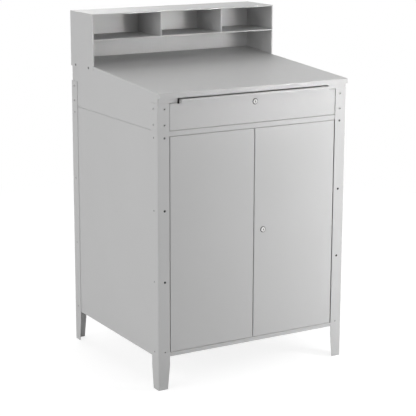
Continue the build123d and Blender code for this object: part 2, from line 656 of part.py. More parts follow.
# ---------------------------------------------------------------- doors
def door(with_bolt):
    """Left door: a pan with its face to the front, drilled for its pins."""
    width = DOOR_EDGE - DOOR_MIDDLE
    height = DOOR_TOP - DOOR_BOTTOM
    centre = (-(DOOR_EDGE + DOOR_MIDDLE) / 2, FACE_Y, (DOOR_TOP + DOOR_BOTTOM) / 2)
    face = Plane(origin=centre, x_dir=(1, 0, 0), z_dir=(0, -1, 0))
    leaf = face * pan(width, height, DOOR_DEPTH)
    pivot = [(-PIVOT_X, PIVOT_Y)]
    leaf = drilled(leaf, "Z", PIN_R, pivot, DOOR_BOTTOM - PAST, DOOR_BOTTOM + PIN_COLLAR)
    leaf = drilled(leaf, "Z", PIN_R, pivot, DOOR_TOP - PIN_COLLAR, DOOR_TOP + PAST)
    if with_bolt:
        rod = [(-BOLT_ROD_INSET, FACE_Y + BOLT_ROD_DEPTH)]
        leaf = drilled(leaf, "Z", BOLT_ROD_R + BOLT_FIT, rod, DOOR_TOP - PIN_COLLAR, DOOR_TOP + PAST)
    return leaf


def door_stiffener():
    """Upright hat section on the inside of the left door."""
    x = -(DOOR_EDGE + DOOR_MIDDLE) / 2
    inner = FACE_Y + PANEL_SHEET
    hat = hat_section(STIFFENER_CROWN / 2, STIFFENER_BASE / 2, STIFFENER_DEPTH)
    points = [(x + u, inner + v) for u, v in hat]
    return folded("Z", DOOR_BOTTOM + STIFFENER_END, DOOR_TOP - STIFFENER_END, points, bend=0)


def pivot_pin(up):
    """Pin on the left door axis: collar inside the pan, pin through the return into the bushing."""
    s = 1 if up else -1
    edge = DOOR_TOP if up else DOOR_BOTTOM
    inside = edge - s * PANEL_SHEET
    seat = Plane(origin=(-PIVOT_X, PIVOT_Y, inside), x_dir=(1, 0, 0), z_dir=(0, 0, s))
    pin = extrude(RegularPolygon(PIN_COLLAR_R, SMALL_SIDES), -PIN_COLLAR)
    pin = pin + extrude(round_face(PIN_R), PANEL_SHEET + PIN_REACH)
    return seat * pin


def bushings():
    """Flanged nylon bushings in the floor and in the rail, on both door axes."""
    pieces = []
    for x, y in pivot_places():
        for z, s in ((FLOOR_Z, 1), (RAIL_BOTTOM, -1)):
            seat = Plane(origin=(x, y, z), x_dir=(1, 0, 0), z_dir=(0, 0, s))
            bush = extrude(prism_face(BUSH_FLANGE_R), BUSH_FLANGE) + extrude(prism_face(BUSH_R), -BUSH_LENGTH)
            bush = bush - extrude(round_bore(PIN_R + BUSH_FIT), 2 * BUSH_LENGTH, both=True)
            pieces.append(seat * bush)
    return pieces


def door_bolt():
    """Round bolt on the left door with the knob that draws it."""
    tip = DOOR_TOP - BOLT_ROD_DROP
    x, y = -BOLT_ROD_INSET, FACE_Y + BOLT_ROD_DEPTH
    low = tip - BOLT_ROD_LENGTH
    rod = Pos(x, y, low) * extrude(round_face(BOLT_ROD_R), BOLT_ROD_LENGTH)
    knob = extrude(RegularPolygon(KNOB_R, SMALL_SIDES), KNOB_LENGTH)
    return rod + Plane(origin=(x, y, low + KNOB_UP), x_dir=(1, 0, 0), z_dir=(0, 1, 0)) * knob


def bolt_straps():
    """Two straps that hold the bolt against the inside of the left door."""
    x = -BOLT_ROD_INSET
    inner = FACE_Y + PANEL_SHEET
    depth = BOLT_ROD_DEPTH - PANEL_SHEET + BOLT_ROD_R + BOLT_FIT
    half = BOLT_ROD_R + BOLT_FIT
    points = [(x + u, inner + v) for u, v in hat_section(half, half + GUIDE_FOOT, depth)]
    low = DOOR_TOP - BOLT_ROD_DROP - BOLT_ROD_LENGTH
    pieces = []
    for up in (GUIDE_LOW, GUIDE_HIGH):
        pieces.append(folded("Z", low + up, low + up + GUIDE_STRAP, points, PANEL_SHEET, 0))
    return pieces


# ---------------------------------------------------------------- locks
def lock_plane(x, z):
    """Plane on the front face of a door or drawer, looking out of it."""
    return Plane(origin=(x, FACE_Y, z), x_dir=(1, 0, 0), z_dir=(0, -1, 0))


def lock_hole(panel, x, z):
    """Panel with the round hole that a lock barrel fills."""
    radius = LOCK_BARREL_R + HOLE_CLEARANCE
    return drilled(panel, "Y", radius, [(x, z)], FACE_Y - PAST, FACE_Y + BEND, small=False)


def lock_housing(barrel):
    """Barrel with a round face in front of the panel and a bore for the plug."""
    face = extrude(round_face(LOCK_FACE_R), LOCK_FACE, taper=LOCK_FACE_TAPER)
    body = face + extrude(round_face(LOCK_BARREL_R), -barrel)
    return body - extrude(round_bore(LOCK_PLUG_R + LOCK_FIT), 2 * barrel, both=True)


def lock_nut():
    """Hexagonal ring that clamps the barrel to the panel."""
    ring = extrude(RegularPolygon(LOCK_NUT_R, 6) - round_face(LOCK_BARREL_R), -LOCK_NUT)
    return Pos(0, 0, -PANEL_SHEET) * ring


def lock_plug(barrel):
    """Plug with a keyway, and the tail that carries the cam."""
    plug = Pos(0, 0, -barrel) * extrude(round_face(LOCK_PLUG_R), barrel + LOCK_FACE)
    end = barrel + CAM_GAP + CAM_SHEET
    tail = Pos(0, 0, -end) * extrude(round_face(LOCK_TAIL_R), end - barrel)
    keyway = Pos(0, 0, LOCK_FACE) * extrude(Rectangle(KEYWAY_WIDTH, KEYWAY_HEIGHT), -KEYWAY_DEPTH)
    return plug + tail - keyway


def lock_cam(barrel, reach, turn):
    """Flat cam on the tail of the plug, pointing along a turn in degrees from the horizontal."""
    bar = SlotCenterPoint((reach / 2 - CAM_WIDTH / 4, 0), (reach - CAM_WIDTH / 2, 0), CAM_WIDTH)
    arm = make_face(Polyline((0, -CAM_WIDTH / 2), (reach / 2, -CAM_WIDTH / 2), (reach / 2, CAM_WIDTH / 2),
                             (0, CAM_WIDTH / 2), close=True))
    cam = arm + bar + Circle(CAM_WIDTH / 2) - prism_face(LOCK_TAIL_R)
    cam = extrude(Rot(0, 0, turn) * cam, -CAM_SHEET)
    return Pos(0, 0, -barrel - CAM_GAP) * cam


# ---------------------------------------------------------------- drawer
def drawer_front():
    """Front pan whose top edge rises through the frame and folds over into a full-width pull."""
    width = 2 * DRAWER_EDGE
    height = DRAWER_TOP - DRAWER_BASE
    centre = (0, FACE_Y, (DRAWER_TOP + DRAWER_BASE) / 2)
    face = Plane(origin=centre, x_dir=(1, 0, 0), z_dir=(0, -1, 0))
    front = face * pan(width, height, DRAWER_FRONT_DEPTH)
    relief = DRAWER_TOP - RELIEF_DROP
    low = (-NOTCH_HALF, FACE_Y - PAST, relief)
    front = front - block(low, (NOTCH_HALF, TRAY_FRONT + PAST, DRAWER_TOP + PAST))
    top = LEG_HEIGHT + PULL_UP
    fold = top - PANEL_SHEET
    reach = FACE_Y - PULL_REACH + PANEL_SHEET
    points = [(FACE_Y, relief - BEND), (FACE_Y, fold), (reach, fold), (reach, top - PULL_HEIGHT)]
    half = NOTCH_HALF - PULL_END_GAP
    pull = folded("X", -half, half, points, side=Side.RIGHT)
    return lock_hole(front + pull, 0, DRAWER_LOCK_Z)


def drawer_tray():
    """Floor and side walls of the drawer in one folded sheet."""
    top = TRAY_FLOOR + TRAY_HEIGHT
    points = [(-TRAY_HALF, top), (-TRAY_HALF, TRAY_FLOOR), (TRAY_HALF, TRAY_FLOOR), (TRAY_HALF, top)]
    return folded("Y", TRAY_FRONT, TRAY_FRONT + TRAY_LENGTH, points, TRAY_SHEET, BEND)


def drawer_ends():
    """Front and rear walls of the drawer, between its side walls."""
    half = TRAY_HALF - TRAY_SHEET
    low = TRAY_FLOOR + TRAY_SHEET
    corner = BEND - TRAY_SHEET
    high = TRAY_FLOOR + TRAY_HEIGHT
    wall = [(-half, low + corner), (-half + corner, low), (half - corner, low), (half, low + corner)]
    wall += [(half, high), (-half, high)]
    rear = TRAY_FRONT + TRAY_LENGTH - TRAY_SHEET
    return [flat("Y", y, TRAY_SHEET, wall) for y in (TRAY_FRONT, rear)]


def drawer_slide():
    """Angle on the left wall of the tray: its flange runs in the channel, a tab meets the stop."""
    points = [(-TRAY_HALF, SLIDE_Z - SLIDE_WALL), (-TRAY_HALF, SLIDE_Z), (-TRAY_HALF - SLIDE_FLANGE, SLIDE_Z)]
    slide = folded("Y", TRAY_FRONT + SLIDE_END, TRAY_FRONT + TRAY_LENGTH - SLIDE_END, points, GUIDE_SHEET)
    catch = CHANNEL_Y + GUIDE_SHEET + DRAWER_TRAVEL + STOP_PLAY
    top = CHANNEL_BASE + CHANNEL_HEIGHT - STOP_PLAY
    tab = outline((-TRAY_HALF - SLIDE_FLANGE, SLIDE_Z - GUIDE_SHEET / 2), (-CHANNEL_TIP, top))
    return slide + flat("Y", catch, GUIDE_SHEET, tab)


# ---------------------------------------------------------------- assembly
def build():
    """All pieces by node name."""
    parts = {}
    leg_front, leg_rear = left_leg(False), left_leg(True)
    parts["leg_front_left"], parts["leg_front_right"] = leg_front, mirrored(leg_front)
    parts["leg_rear_left"], parts["leg_rear_right"] = leg_rear, mirrored(leg_rear)

    bolt = fastener(BOLT_HEAD_R, BOLT_HEAD, BOLT_R, BOLT_LENGTH)
    screw = fastener(SCREW_HEAD_R, SCREW_HEAD, SCREW_R, SCREW_LENGTH)
    grip = LEG_SHEET + PANEL_SHEET
    nut = extrude(RegularPolygon(NUT_AF / 2, 6, major_radius=False), -NUT_HEIGHT)
    nut = Pos(0, 0, -grip) * (nut - extrude(prism_face(BOLT_R), -NUT_HEIGHT))
    parts["leg_bolts"] = on_legs(bolt, BOLT_ROWS)
    parts["leg_bolt_nuts"] = on_legs(nut, BOLT_ROWS)
    parts["leg_screws"] = on_legs(screw, SCREW_ROWS)

    for name, piece in (("side_panel", side_panel()), ("shelf_bracket", shelf_bracket())):
        parts[name + "_left"], parts[name + "_right"] = piece, mirrored(piece)
    parts["cabinet_back"] = cabinet_back()
    parts["cabinet_floor"] = cabinet_floor()
    parts["cabinet_top"] = cabinet_top()
    parts["cabinet_shelf"] = cabinet_shelf()

    parts["desktop_shell"] = desktop_shell()
    parts["drawer_frame"] = drawer_frame()
    parts["desk_back"] = desk_back()
    parts["drawer_lock_strike"] = lock_strike()
    channel = drawer_channel()
    parts["drawer_channel_left"], parts["drawer_channel_right"] = channel, mirrored(channel)
    brackets = channel_brackets()
    parts["channel_brackets"] = brackets + [mirrored(b) for b in brackets]

    side = riser_side()
    parts["riser_side_left"], parts["riser_side_right"] = side, mirrored(side)
    parts["riser_back"] = riser_back()
    parts["riser_top"] = riser_top()
    parts["riser_shelf"] = riser_shelf()
    parts["riser_divider_left"] = riser_divider(DIVIDER_PLACES[0])
    parts["riser_divider_right"] = riser_divider(DIVIDER_PLACES[1])
    riser_screws = []
    for sx in (-1, 1):
        for y in RISER_SCREW_Y:
            place = (sx * HALF_W, RISER_FRONT + y, RISER_BOTTOM + RISER_SCREW_UP)
            riser_screws.append(Plane(origin=place, x_dir=(0, 1, 0), z_dir=(sx, 0, 0)) * screw)
    parts["riser_screws"] = riser_screws

    parts["door_left"] = door(True)
    right = mirrored(door(False))
    parts["door_right"] = lock_hole(right, DOOR_LOCK_X, DOOR_LOCK_Z)
    stiffener = door_stiffener()
    parts["door_stiffener_left"], parts["door_stiffener_right"] = stiffener, mirrored(stiffener)
    pins = [pivot_pin(False), pivot_pin(True)]
    parts["door_pins_left"], parts["door_pins_right"] = pins, [mirrored(p) for p in pins]
    parts["door_bushings"] = bushings()
    parts["door_bolt"] = door_bolt()
    parts["door_bolt_straps"] = bolt_straps()

    locks = (
        ("drawer_lock", lock_plane(0, DRAWER_LOCK_Z), DRAWER_BARREL, DRAWER_CAM, 180),
        ("door_lock", lock_plane(DOOR_LOCK_X, DOOR_LOCK_Z), DOOR_BARREL, DOOR_CAM, 90),
    )
    for name, place, barrel, reach, turn in locks:
        parts[name + "_housing"] = place * lock_housing(barrel)
        parts[name + "_nut"] = place * lock_nut()
        parts[name + "_plug"] = place * lock_plug(barrel)
        parts[name + "_cam"] = place * lock_cam(barrel, reach, turn)

    parts["drawer_front"] = drawer_front()
    parts["drawer_tray"] = drawer_tray()
    parts["drawer_ends"] = drawer_ends()
    slide = drawer_slide()
    parts["drawer_slide_left"], parts["drawer_slide_right"] = slide, mirrored(slide)
    return parts


os.makedirs("parts", exist_ok=True)
for node, piece in build().items():
    solid = Compound(children=piece) if isinstance(piece, list) else piece
    export_step(solid, f"parts/{node}.step")
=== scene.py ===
"""Dressed model of a sheet-steel shop desk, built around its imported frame.

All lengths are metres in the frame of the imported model: +Z is up, +X is to the right of a
person who faces the doors, and +Y runs to the back.
"""

import logging
import math
from dataclasses import dataclass, field
from enum import Enum, IntEnum
from typing import Any, ClassVar, Iterable, Sequence

import bmesh
import bpy
from mathutils import Matrix, Vector


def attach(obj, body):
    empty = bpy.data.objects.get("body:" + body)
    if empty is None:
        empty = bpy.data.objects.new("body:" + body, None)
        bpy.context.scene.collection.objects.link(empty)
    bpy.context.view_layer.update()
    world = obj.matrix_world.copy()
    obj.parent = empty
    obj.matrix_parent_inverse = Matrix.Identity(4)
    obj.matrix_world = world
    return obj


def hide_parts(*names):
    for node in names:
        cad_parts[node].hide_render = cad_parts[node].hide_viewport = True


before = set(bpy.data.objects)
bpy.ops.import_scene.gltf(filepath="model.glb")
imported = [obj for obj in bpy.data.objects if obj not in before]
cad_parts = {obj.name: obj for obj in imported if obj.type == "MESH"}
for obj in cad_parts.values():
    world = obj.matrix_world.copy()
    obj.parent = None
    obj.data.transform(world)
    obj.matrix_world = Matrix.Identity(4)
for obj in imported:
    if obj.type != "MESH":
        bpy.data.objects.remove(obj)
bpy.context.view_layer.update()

log = logging.getLogger("shop_desk")

Solid = bmesh.types.BMesh
Edge = bmesh.types.BMEdge
Material = bpy.types.Material
Socket = bpy.types.NodeSocket
Tree = bpy.types.NodeTree
Skin = tuple[Socket, Socket, Socket]
Finishes = dict[str, Material]
Profile = list[tuple[float, float]]  # radius and height of each point, in millimetres
Colour = tuple[float, float, float, float]

MM = 0.001
SEAM_MERGE = 0.002 * MM  # vertices of a turned piece that are closer than this become one
CUT_MERGE = 0.001 * MM  # the same on a cut piece
LEVEL = 1e-6  # an edge that rises less than this is level
SHARP = 32.0  # an edge that turns more than this stays sharp, in degrees
DRILL_PAST = 2.0  # how far a drill goes past a face, in millimetres


# ---------------------------------------------------------------- meshes
class Turn(Enum):
    """How many sides a turned piece has."""

    SMALL = 16
    ROUND = 32
    FACE = 64


class Coat(IntEnum):
    """Material number of a face: a piece's finishes in their order."""

    MAIN = 0
    SECOND = 1
    THIRD = 2
    FOURTH = 3


def lathe(profile: Profile, turn: Turn = Turn.ROUND, ring: bool = False) -> Solid:
    """Turn a profile about the Z axis into a closed solid.

    Args:
        profile: Radius and height of each point, in millimetres.
        turn: Number of sides.
        ring: True for a closed profile that stays clear of the axis.

    Returns:
        The solid, in metres.
    """
    bm = bmesh.new()
    verts = [bm.verts.new((r * MM, 0.0, z * MM)) for r, z in profile]
    edges = [bm.edges.new(pair) for pair in zip(verts, verts[1:])]
    if ring:
        edges.append(bm.edges.new((verts[-1], verts[0])))
    bmesh.ops.spin(
        bm, geom=verts + edges, cent=(0, 0, 0), axis=(0, 0, 1), dvec=(0, 0, 0),
        angle=2 * math.pi, steps=turn.value, use_merge=True,
    )
    bmesh.ops.remove_doubles(bm, verts=bm.verts, dist=SEAM_MERGE)
    bmesh.ops.recalc_face_normals(bm, faces=bm.faces)
    return bm


def drill(radius: float, low: float, high: float, turn: Turn = Turn.ROUND) -> Solid:
    """Return a round cutter that goes past two heights, in millimetres."""
    low, high = low - DRILL_PAST, high + DRILL_PAST
    return lathe([(0.0, low), (radius, low), (radius, high), (0.0, high)], turn)


def soften(bm: Solid, edges: Iterable[Edge], width: float, segments: int) -> None:
    """Bevel edges of a mesh.

    Args:
        bm: The mesh.
        edges: Its edges to bevel.
        width: Width of the bevel, in millimetres.
        segments: Number of faces across it.
    """
    bmesh.ops.bevel(
        bm, geom=list(edges), offset=width * MM, offset_type="OFFSET", affect="EDGES",
        segments=segments, profile=0.5, material=-1,
    )


def is_level(edge: Edge) -> bool:
    """Return whether both ends of an edge have one height."""
    return abs(edge.verts[0].co.z - edge.verts[1].co.z) < LEVEL


def block(size: Sequence[float], centre: Sequence[float]) -> Solid:
    """Make a box.

    Args:
        size: Length along X, Y and Z, in millimetres.
        centre: Its middle, in millimetres.

    Returns:
        The box, in metres.
    """
    bm = bmesh.new()
    bmesh.ops.create_cube(bm, size=1.0)
    bmesh.ops.scale(bm, vec=[s * MM for s in size], verts=bm.verts)
    bmesh.ops.translate(bm, vec=[c * MM for c in centre], verts=bm.verts)
    return bm


def hex_nut(flats: float, height: float, chamfer: float) -> Solid:
    """Make a hexagonal bar below the XY plane.

    Args:
        flats: Width across flats, in millimetres.
        height: Its length along Z.
        chamfer: Width of the softened end edges.

    Returns:
        The bar, in metres.
    """
    bm = bmesh.new()
    radius = flats / 2 / math.cos(math.pi / 6) * MM
    bmesh.ops.create_cone(
        bm, cap_ends=True, segments=6, radius1=radius, radius2=radius, depth=height * MM,
        matrix=Matrix.Translation((0, 0, -height / 2 * MM)),
    )
    soften(bm, [edge for edge in bm.edges if is_level(edge)], chamfer, 1)
    return bm


def to_mesh(bm: Solid, name: str) -> bpy.types.Mesh:
    """Write a bmesh to a mesh and free it.

    Args:
        bm: The bmesh, which is used up.
        name: Name of the mesh.

    Returns:
        The mesh.
    """
    mesh = bpy.data.meshes.new(name)
    bm.to_mesh(mesh)
    bm.free()
    return mesh


def new_object(name: str, data: Any) -> bpy.types.Object:
    """Make an object and add it to the scene.

    Args:
        name: Name of the object.
        data: Its mesh, lamp or camera.

    Returns:
        The object.
    """
    obj = bpy.data.objects.new(name, data)
    bpy.context.scene.collection.objects.link(obj)
    return obj


def carved(body: Solid, *cutters: Solid) -> Solid:
    """Cut pieces out of a solid.

    Args:
        body: The solid, which is used up.
        *cutters: The pieces to remove, which are used up.

    Returns:
        What is left of the solid.
    """
    host = new_object("carved_body", to_mesh(body, "carved_body"))
    tools = []
    for cutter in cutters:
        tool = new_object("carved_tool", to_mesh(cutter, "carved_tool"))
        cut = host.modifiers.new("cut", "BOOLEAN")
        cut.operation, cut.solver, cut.object = "DIFFERENCE", "EXACT", tool
        tools.append(tool)
    graph = bpy.context.evaluated_depsgraph_get()
    result = bmesh.new()
    result.from_mesh(bpy.data.meshes.new_from_object(host.evaluated_get(graph)))
    for thing in [host, *tools]:
        bpy.data.objects.remove(thing)
    bmesh.ops.remove_doubles(result, verts=result.verts, dist=CUT_MERGE)
    return result


def copies(one: Solid, places: Iterable[Matrix]) -> Solid:
    """Repeat a solid at several places.

    Args:
        one: The solid, which is used up.
        places: Where each copy goes.

    Returns:
        All the copies in one bmesh.
    """
    source = to_mesh(one, "repeated")
    every = bmesh.new()
    for place in places:
        copy = source.copy()
        copy.transform(place)
        every.from_mesh(copy)
        bpy.data.meshes.remove(copy)
    bpy.data.meshes.remove(source)
    return every


def facing(point: Sequence[float], outward: Sequence[float], roll: float = 0.0) -> Matrix:
    """Place a turned piece on a face.

    Args:
        point: Place on the face, in millimetres.
        outward: Direction that the piece's +Z axis takes.
        roll: Turn about that axis, in degrees.

    Returns:
        The matrix, in metres.
    """
    turn = Vector(outward).to_track_quat("Z", "Y").to_matrix().to_4x4()
    spot = Matrix.Translation([p * MM for p in point])
    return spot @ turn @ Matrix.Rotation(math.radians(roll), 4, "Z")


def middle_of(face: bmesh.types.BMFace) -> Vector:
    """Return the middle of a face, in millimetres."""
    return face.calc_center_median() / MM


def piece(
    name: str, bm: Solid, coats: Sequence[Material], body: str, nodes: Sequence[str]
) -> None:
    """Finish a piece and seat it in the frame, at the origin.

    Args:
        name: Name of the piece.
        bm: Its solids, which are used up.
        coats: Its finishes, in the order of the faces' material numbers.
        body: Body that it rides on.
        nodes: Plain solids that it stands for.
    """
    mesh = to_mesh(bm, name)
    mesh.shade_smooth()
    mesh.set_sharp_from_angle(angle=math.radians(SHARP))
    for coat in coats:
        mesh.materials.append(coat)
    obj = new_object(name, mesh)
    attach(obj, body)
    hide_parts(*nodes)
    log.info("%s on %s for %s", name, body, ", ".join(nodes))


# ---------------------------------------------------------------- shader helpers
@dataclass
class Sheet:
    """A node tree that is filled from left to right."""

    tree: Tree
    column: int = 0
    spacing: int = 190

    def add(
        self, kind: str, inputs: dict[Any, Any] | None = None, **settings: Any
    ) -> bpy.types.Node:
        """Add a node.

        Args:
            kind: Type of the node.
            inputs: Socket name or number to a value, or to an output that is linked to it.
            **settings: Properties of the node.

        Returns:
            The new node.
        """
        node = self.tree.nodes.new(kind)
        node.location = (self.column * self.spacing, 0)
        self.column += 1
        for name, value in settings.items():
            setattr(node, name, value)
        for key, value in (inputs or {}).items():
            if isinstance(value, Socket):
                self.tree.links.new(value, node.inputs[key])
            else:
                node.inputs[key].default_value = value
        return node

    def group(self, tree: Tree, inputs: dict[str, Any]) -> bpy.types.bpy_prop_collection:
        """Add an effect with its own values and return its outputs."""
        return self.add("ShaderNodeGroup", inputs, node_tree=tree).outputs

    def math(self, operation: str, a: Any, b: Any = 0.0, clamp: bool = False) -> Socket:
        """Return the result of a Math node."""
        settings = {"operation": operation, "use_clamp": clamp}
        return self.add("ShaderNodeMath", {0: a, 1: b}, **settings).outputs[0]

    def vector(self, operation: str, a: Any, b: Any = (0.0, 0.0, 0.0)) -> bpy.types.Node:
        """Return a Vector Math node."""
        return self.add("ShaderNodeVectorMath", {0: a, 1: b}, operation=operation)

    def swing(self, value: Any, amount: Any) -> Socket:
        """Return a value between 0 and 1 as a swing about zero."""
        return self.math("MULTIPLY", self.math("SUBTRACT", value, 0.5), amount)

    def ramp(
        self, value: Any, low: float, high: float, start: float = 0.0, end: float = 1.0
    ) -> Socket:
        """Map a value smoothly from one range to another.

        Args:
            value: The value.
            low: Where the first range starts.
            high: Where it ends.
            start: Result at the low end.
            end: Result at the high end.

        Returns:
            The result.
        """
        inputs = {
            "Value": value, "From Min": low, "From Max": high, "To Min": start, "To Max": end,
        }
        node = self.add("ShaderNodeMapRange", inputs, interpolation_type="SMOOTHSTEP")
        return node.outputs["Result"]

    def noise(
        self, scale: Any, detail: float = 3.0, vector: Any = None, rough: float = 0.5
    ) -> Socket:
        """Make fractal noise.

        Args:
            scale: Its scale.
            detail: Number of octaves.
            vector: Its place, or None for the object coordinates.
            rough: Share of the finer octaves.

        Returns:
            The noise, between 0 and 1.
        """
        place = vector or self.place()
        inputs = {"Vector": place, "Scale": scale, "Detail": detail, "Roughness": rough}
        return self.add("ShaderNodeTexNoise", inputs).outputs["Fac"]

    def place(self) -> Socket:
        """Return object coordinates."""
        return self.add("ShaderNodeTexCoord").outputs["Object"]

    def stretched(self, place: Socket, scale: tuple[float, float, float]) -> Socket:
        """Return coordinates scaled along each axis."""
        return self.add("ShaderNodeMapping", {"Vector": place, "Scale": scale}).outputs[0]

    def mixed(self, factor: Any, a: Any, b: Any, blend: str = "MIX") -> Socket:
        """Return two colours mixed."""
        inputs = {0: factor, 6: a, 7: b}
        return self.add("ShaderNodeMix", inputs, data_type="RGBA", blend_type=blend).outputs[2]

    def toned(self, colour: Socket, tone: Socket) -> Socket:
        """Return a colour multiplied by a brightness."""
        even = self.add("ShaderNodeCombineColor", {0: tone, 1: tone, 2: tone}).outputs[0]
        return self.mixed(1.0, colour, even, "MULTIPLY")


class Kind(Enum):
    """Kinds of socket on an effect."""

    NUMBER = "NodeSocketFloat"
    COLOUR = "NodeSocketColor"
    VECTOR = "NodeSocketVector"


def effect(
    name: str, takes: dict[str, tuple[Kind, Any]], gives: dict[str, Kind]
) -> tuple[Sheet, Any]:
    """Start a shader node group.

    Args:
        name: Name of the effect.
        takes: Input names with their kind and default.
        gives: Output names with their kind.

    Returns:
        The sheet of the group, and what the group is given.
    """
    group = bpy.data.node_groups.new(name, "ShaderNodeTree")
    for label, (kind, default) in takes.items():
        socket = group.interface.new_socket(name=label, in_out="INPUT", socket_type=kind.value)
        socket.default_value = default
    for label, kind in gives.items():
        group.interface.new_socket(name=label, in_out="OUTPUT", socket_type=kind.value)
    sheet = Sheet(group)
    return sheet, sheet.add("NodeGroupInput").outputs


def close_effect(sheet: Sheet, results: dict[str, Socket]) -> Tree:
    """Link an effect's results to its outputs and return its node group."""
    sheet.add("NodeGroupOutput", results)
    return sheet.tree


def grey(value: float, warm: float = 0.0) -> Colour:
    """Return a grey, a little warm or cool."""
    return (value * (1 + warm), value, value * (1 - warm), 1.0)


class Effects:
    """Surface effects that several finishes share, each built once."""

    SKIN: dict[str, Kind] = {"Color": Kind.COLOUR, "Roughness": Kind.NUMBER, "Height": Kind.NUMBER}

    def __init__(self) -> None:
        """Build every effect."""
        self.powder = self.build_powder()
        self.dust = self.build_dust()
        self.rub = self.build_rub()
        self.spangle = self.build_spangle()
        self.rings = self.build_rings()

    def build_powder(self) -> Tree:
        """Build the fine orange peel and slow mottle of a powder coat.

        Returns:
            The node group.
        """
        grain_scale, mottle_scale, uneven_scale = 2200.0, 3.2, 14.0
        grain_tone, grain_height, uneven = 0.05, 0.18, 0.09
        sheet, given = effect("powder_coat_skin", {
            "Tone": (Kind.COLOUR, grey(0.5)),
            "Roughness": (Kind.NUMBER, 0.45),
            "Peel": (Kind.NUMBER, 260.0),
            "Mottle": (Kind.NUMBER, 0.04),
        }, self.SKIN)
        peel = sheet.noise(given["Peel"], 2.0)
        grain = sheet.noise(grain_scale, 2.0)
        drift = sheet.swing(sheet.noise(mottle_scale, 3.0), given["Mottle"])
        speck = sheet.swing(grain, grain_tone)
        tone = sheet.math("ADD", sheet.math("ADD", drift, speck), 1.0)
        patchy = sheet.swing(sheet.noise(uneven_scale, 4.0), uneven)
        return close_effect(sheet, {
            "Color": sheet.toned(given["Tone"], tone),
            "Roughness": sheet.math("ADD", given["Roughness"], patchy, clamp=True),
            "Height": sheet.math("ADD", peel, sheet.math("MULTIPLY", grain, grain_height)),
        })

    def build_dust(self) -> Tree:
        """Build a thin film of dust on faces that look up.

        Returns:
            The node group.
        """
        dust_colour, dulling, patch_scale = (0.62, 0.61, 0.58, 1.0), 0.6, 9.0
        upward, patchy = (0.6, 0.98), (0.35, 0.75, 0.35, 1.0)
        sheet, given = effect("settled_dust", {
            "Color": (Kind.COLOUR, grey(0.5)),
            "Roughness": (Kind.NUMBER, 0.45),
            "Amount": (Kind.NUMBER, 0.05),
        }, {"Color": Kind.COLOUR, "Roughness": Kind.NUMBER})
        normal = sheet.add("ShaderNodeNewGeometry").outputs["Normal"]
        up = sheet.add("ShaderNodeSeparateXYZ", {0: normal}).outputs["Z"]
        patches = sheet.ramp(sheet.noise(patch_scale, 6.0, rough=0.65), *patchy)
        film = sheet.math("MULTIPLY", sheet.ramp(up, *upward), patches)
        film = sheet.math("MULTIPLY", film, given["Amount"], clamp=True)
        duller = sheet.math("MULTIPLY", film, dulling)
        return close_effect(sheet, {
            "Color": sheet.mixed(film, given["Color"], dust_colour),
            "Roughness": sheet.math("ADD", given["Roughness"], duller, clamp=True),
        })

    def build_rub(self) -> Tree:
        """Build a mask of small rubs and scuffs between two heights.

        Returns:
            The node group.
        """
        mark_scale, mark_shape = 120.0, (1.0, 1.0, 3.5)
        mark_edge, band_edge = (0.57, 0.68), (1.0, 0.55)
        sheet, given = effect("rubbed_band", {
            "Low": (Kind.NUMBER, 0.0),
            "High": (Kind.NUMBER, 0.03),
            "Strength": (Kind.NUMBER, 0.5),
        }, {"Mask": Kind.NUMBER})
        low, high = given["Low"], given["High"]
        place = sheet.place()
        z = sheet.add("ShaderNodeSeparateXYZ", {0: place}).outputs["Z"]
        middle = sheet.math("MULTIPLY", sheet.math("ADD", low, high), 0.5)
        half = sheet.math("MULTIPLY", sheet.math("SUBTRACT", high, low), 0.5)
        off = sheet.math("ABSOLUTE", sheet.math("SUBTRACT", z, middle))
        band = sheet.ramp(sheet.math("DIVIDE", off, half), *band_edge)
        noise = sheet.noise(mark_scale, 5.0, sheet.stretched(place, mark_shape), 0.7)
        marks = sheet.math("MULTIPLY", band, sheet.ramp(noise, *mark_edge))
        mask = sheet.math("MULTIPLY", marks, given["Strength"], clamp=True)
        return close_effect(sheet, {"Mask": mask})

    def build_spangle(self) -> Tree:
        """Build the cloudy crystals and drawn lines of zinc on steel.

        Returns:
            The node group.
        """
        line_scale, line_shape = 900.0, (1.0, 0.04, 1.0)
        share, darkest = 0.12, 0.88
        sheet, given = effect("zinc_skin", {
            "Tone": (Kind.COLOUR, grey(0.6)),
            "Roughness": (Kind.NUMBER, 0.35),
            "Crystal": (Kind.NUMBER, 160.0),
        }, self.SKIN)
        place = sheet.place()
        cells = sheet.add("ShaderNodeTexVoronoi", {"Vector": place, "Scale": given["Crystal"]})
        cell = sheet.add("ShaderNodeSeparateColor", {0: cells.outputs["Color"]}).outputs[0]
        lines = sheet.noise(line_scale, 2.0, sheet.stretched(place, line_shape))
        bright, drawn = sheet.math("MULTIPLY", cell, share), sheet.math("MULTIPLY", lines, share)
        tone = sheet.math("ADD", sheet.math("ADD", bright, drawn), darkest)
        change = sheet.swing(cell, share)
        return close_effect(sheet, {
            "Color": sheet.toned(given["Tone"], tone),
            "Roughness": sheet.math("ADD", given["Roughness"], change, clamp=True),
            "Height": lines,
        })

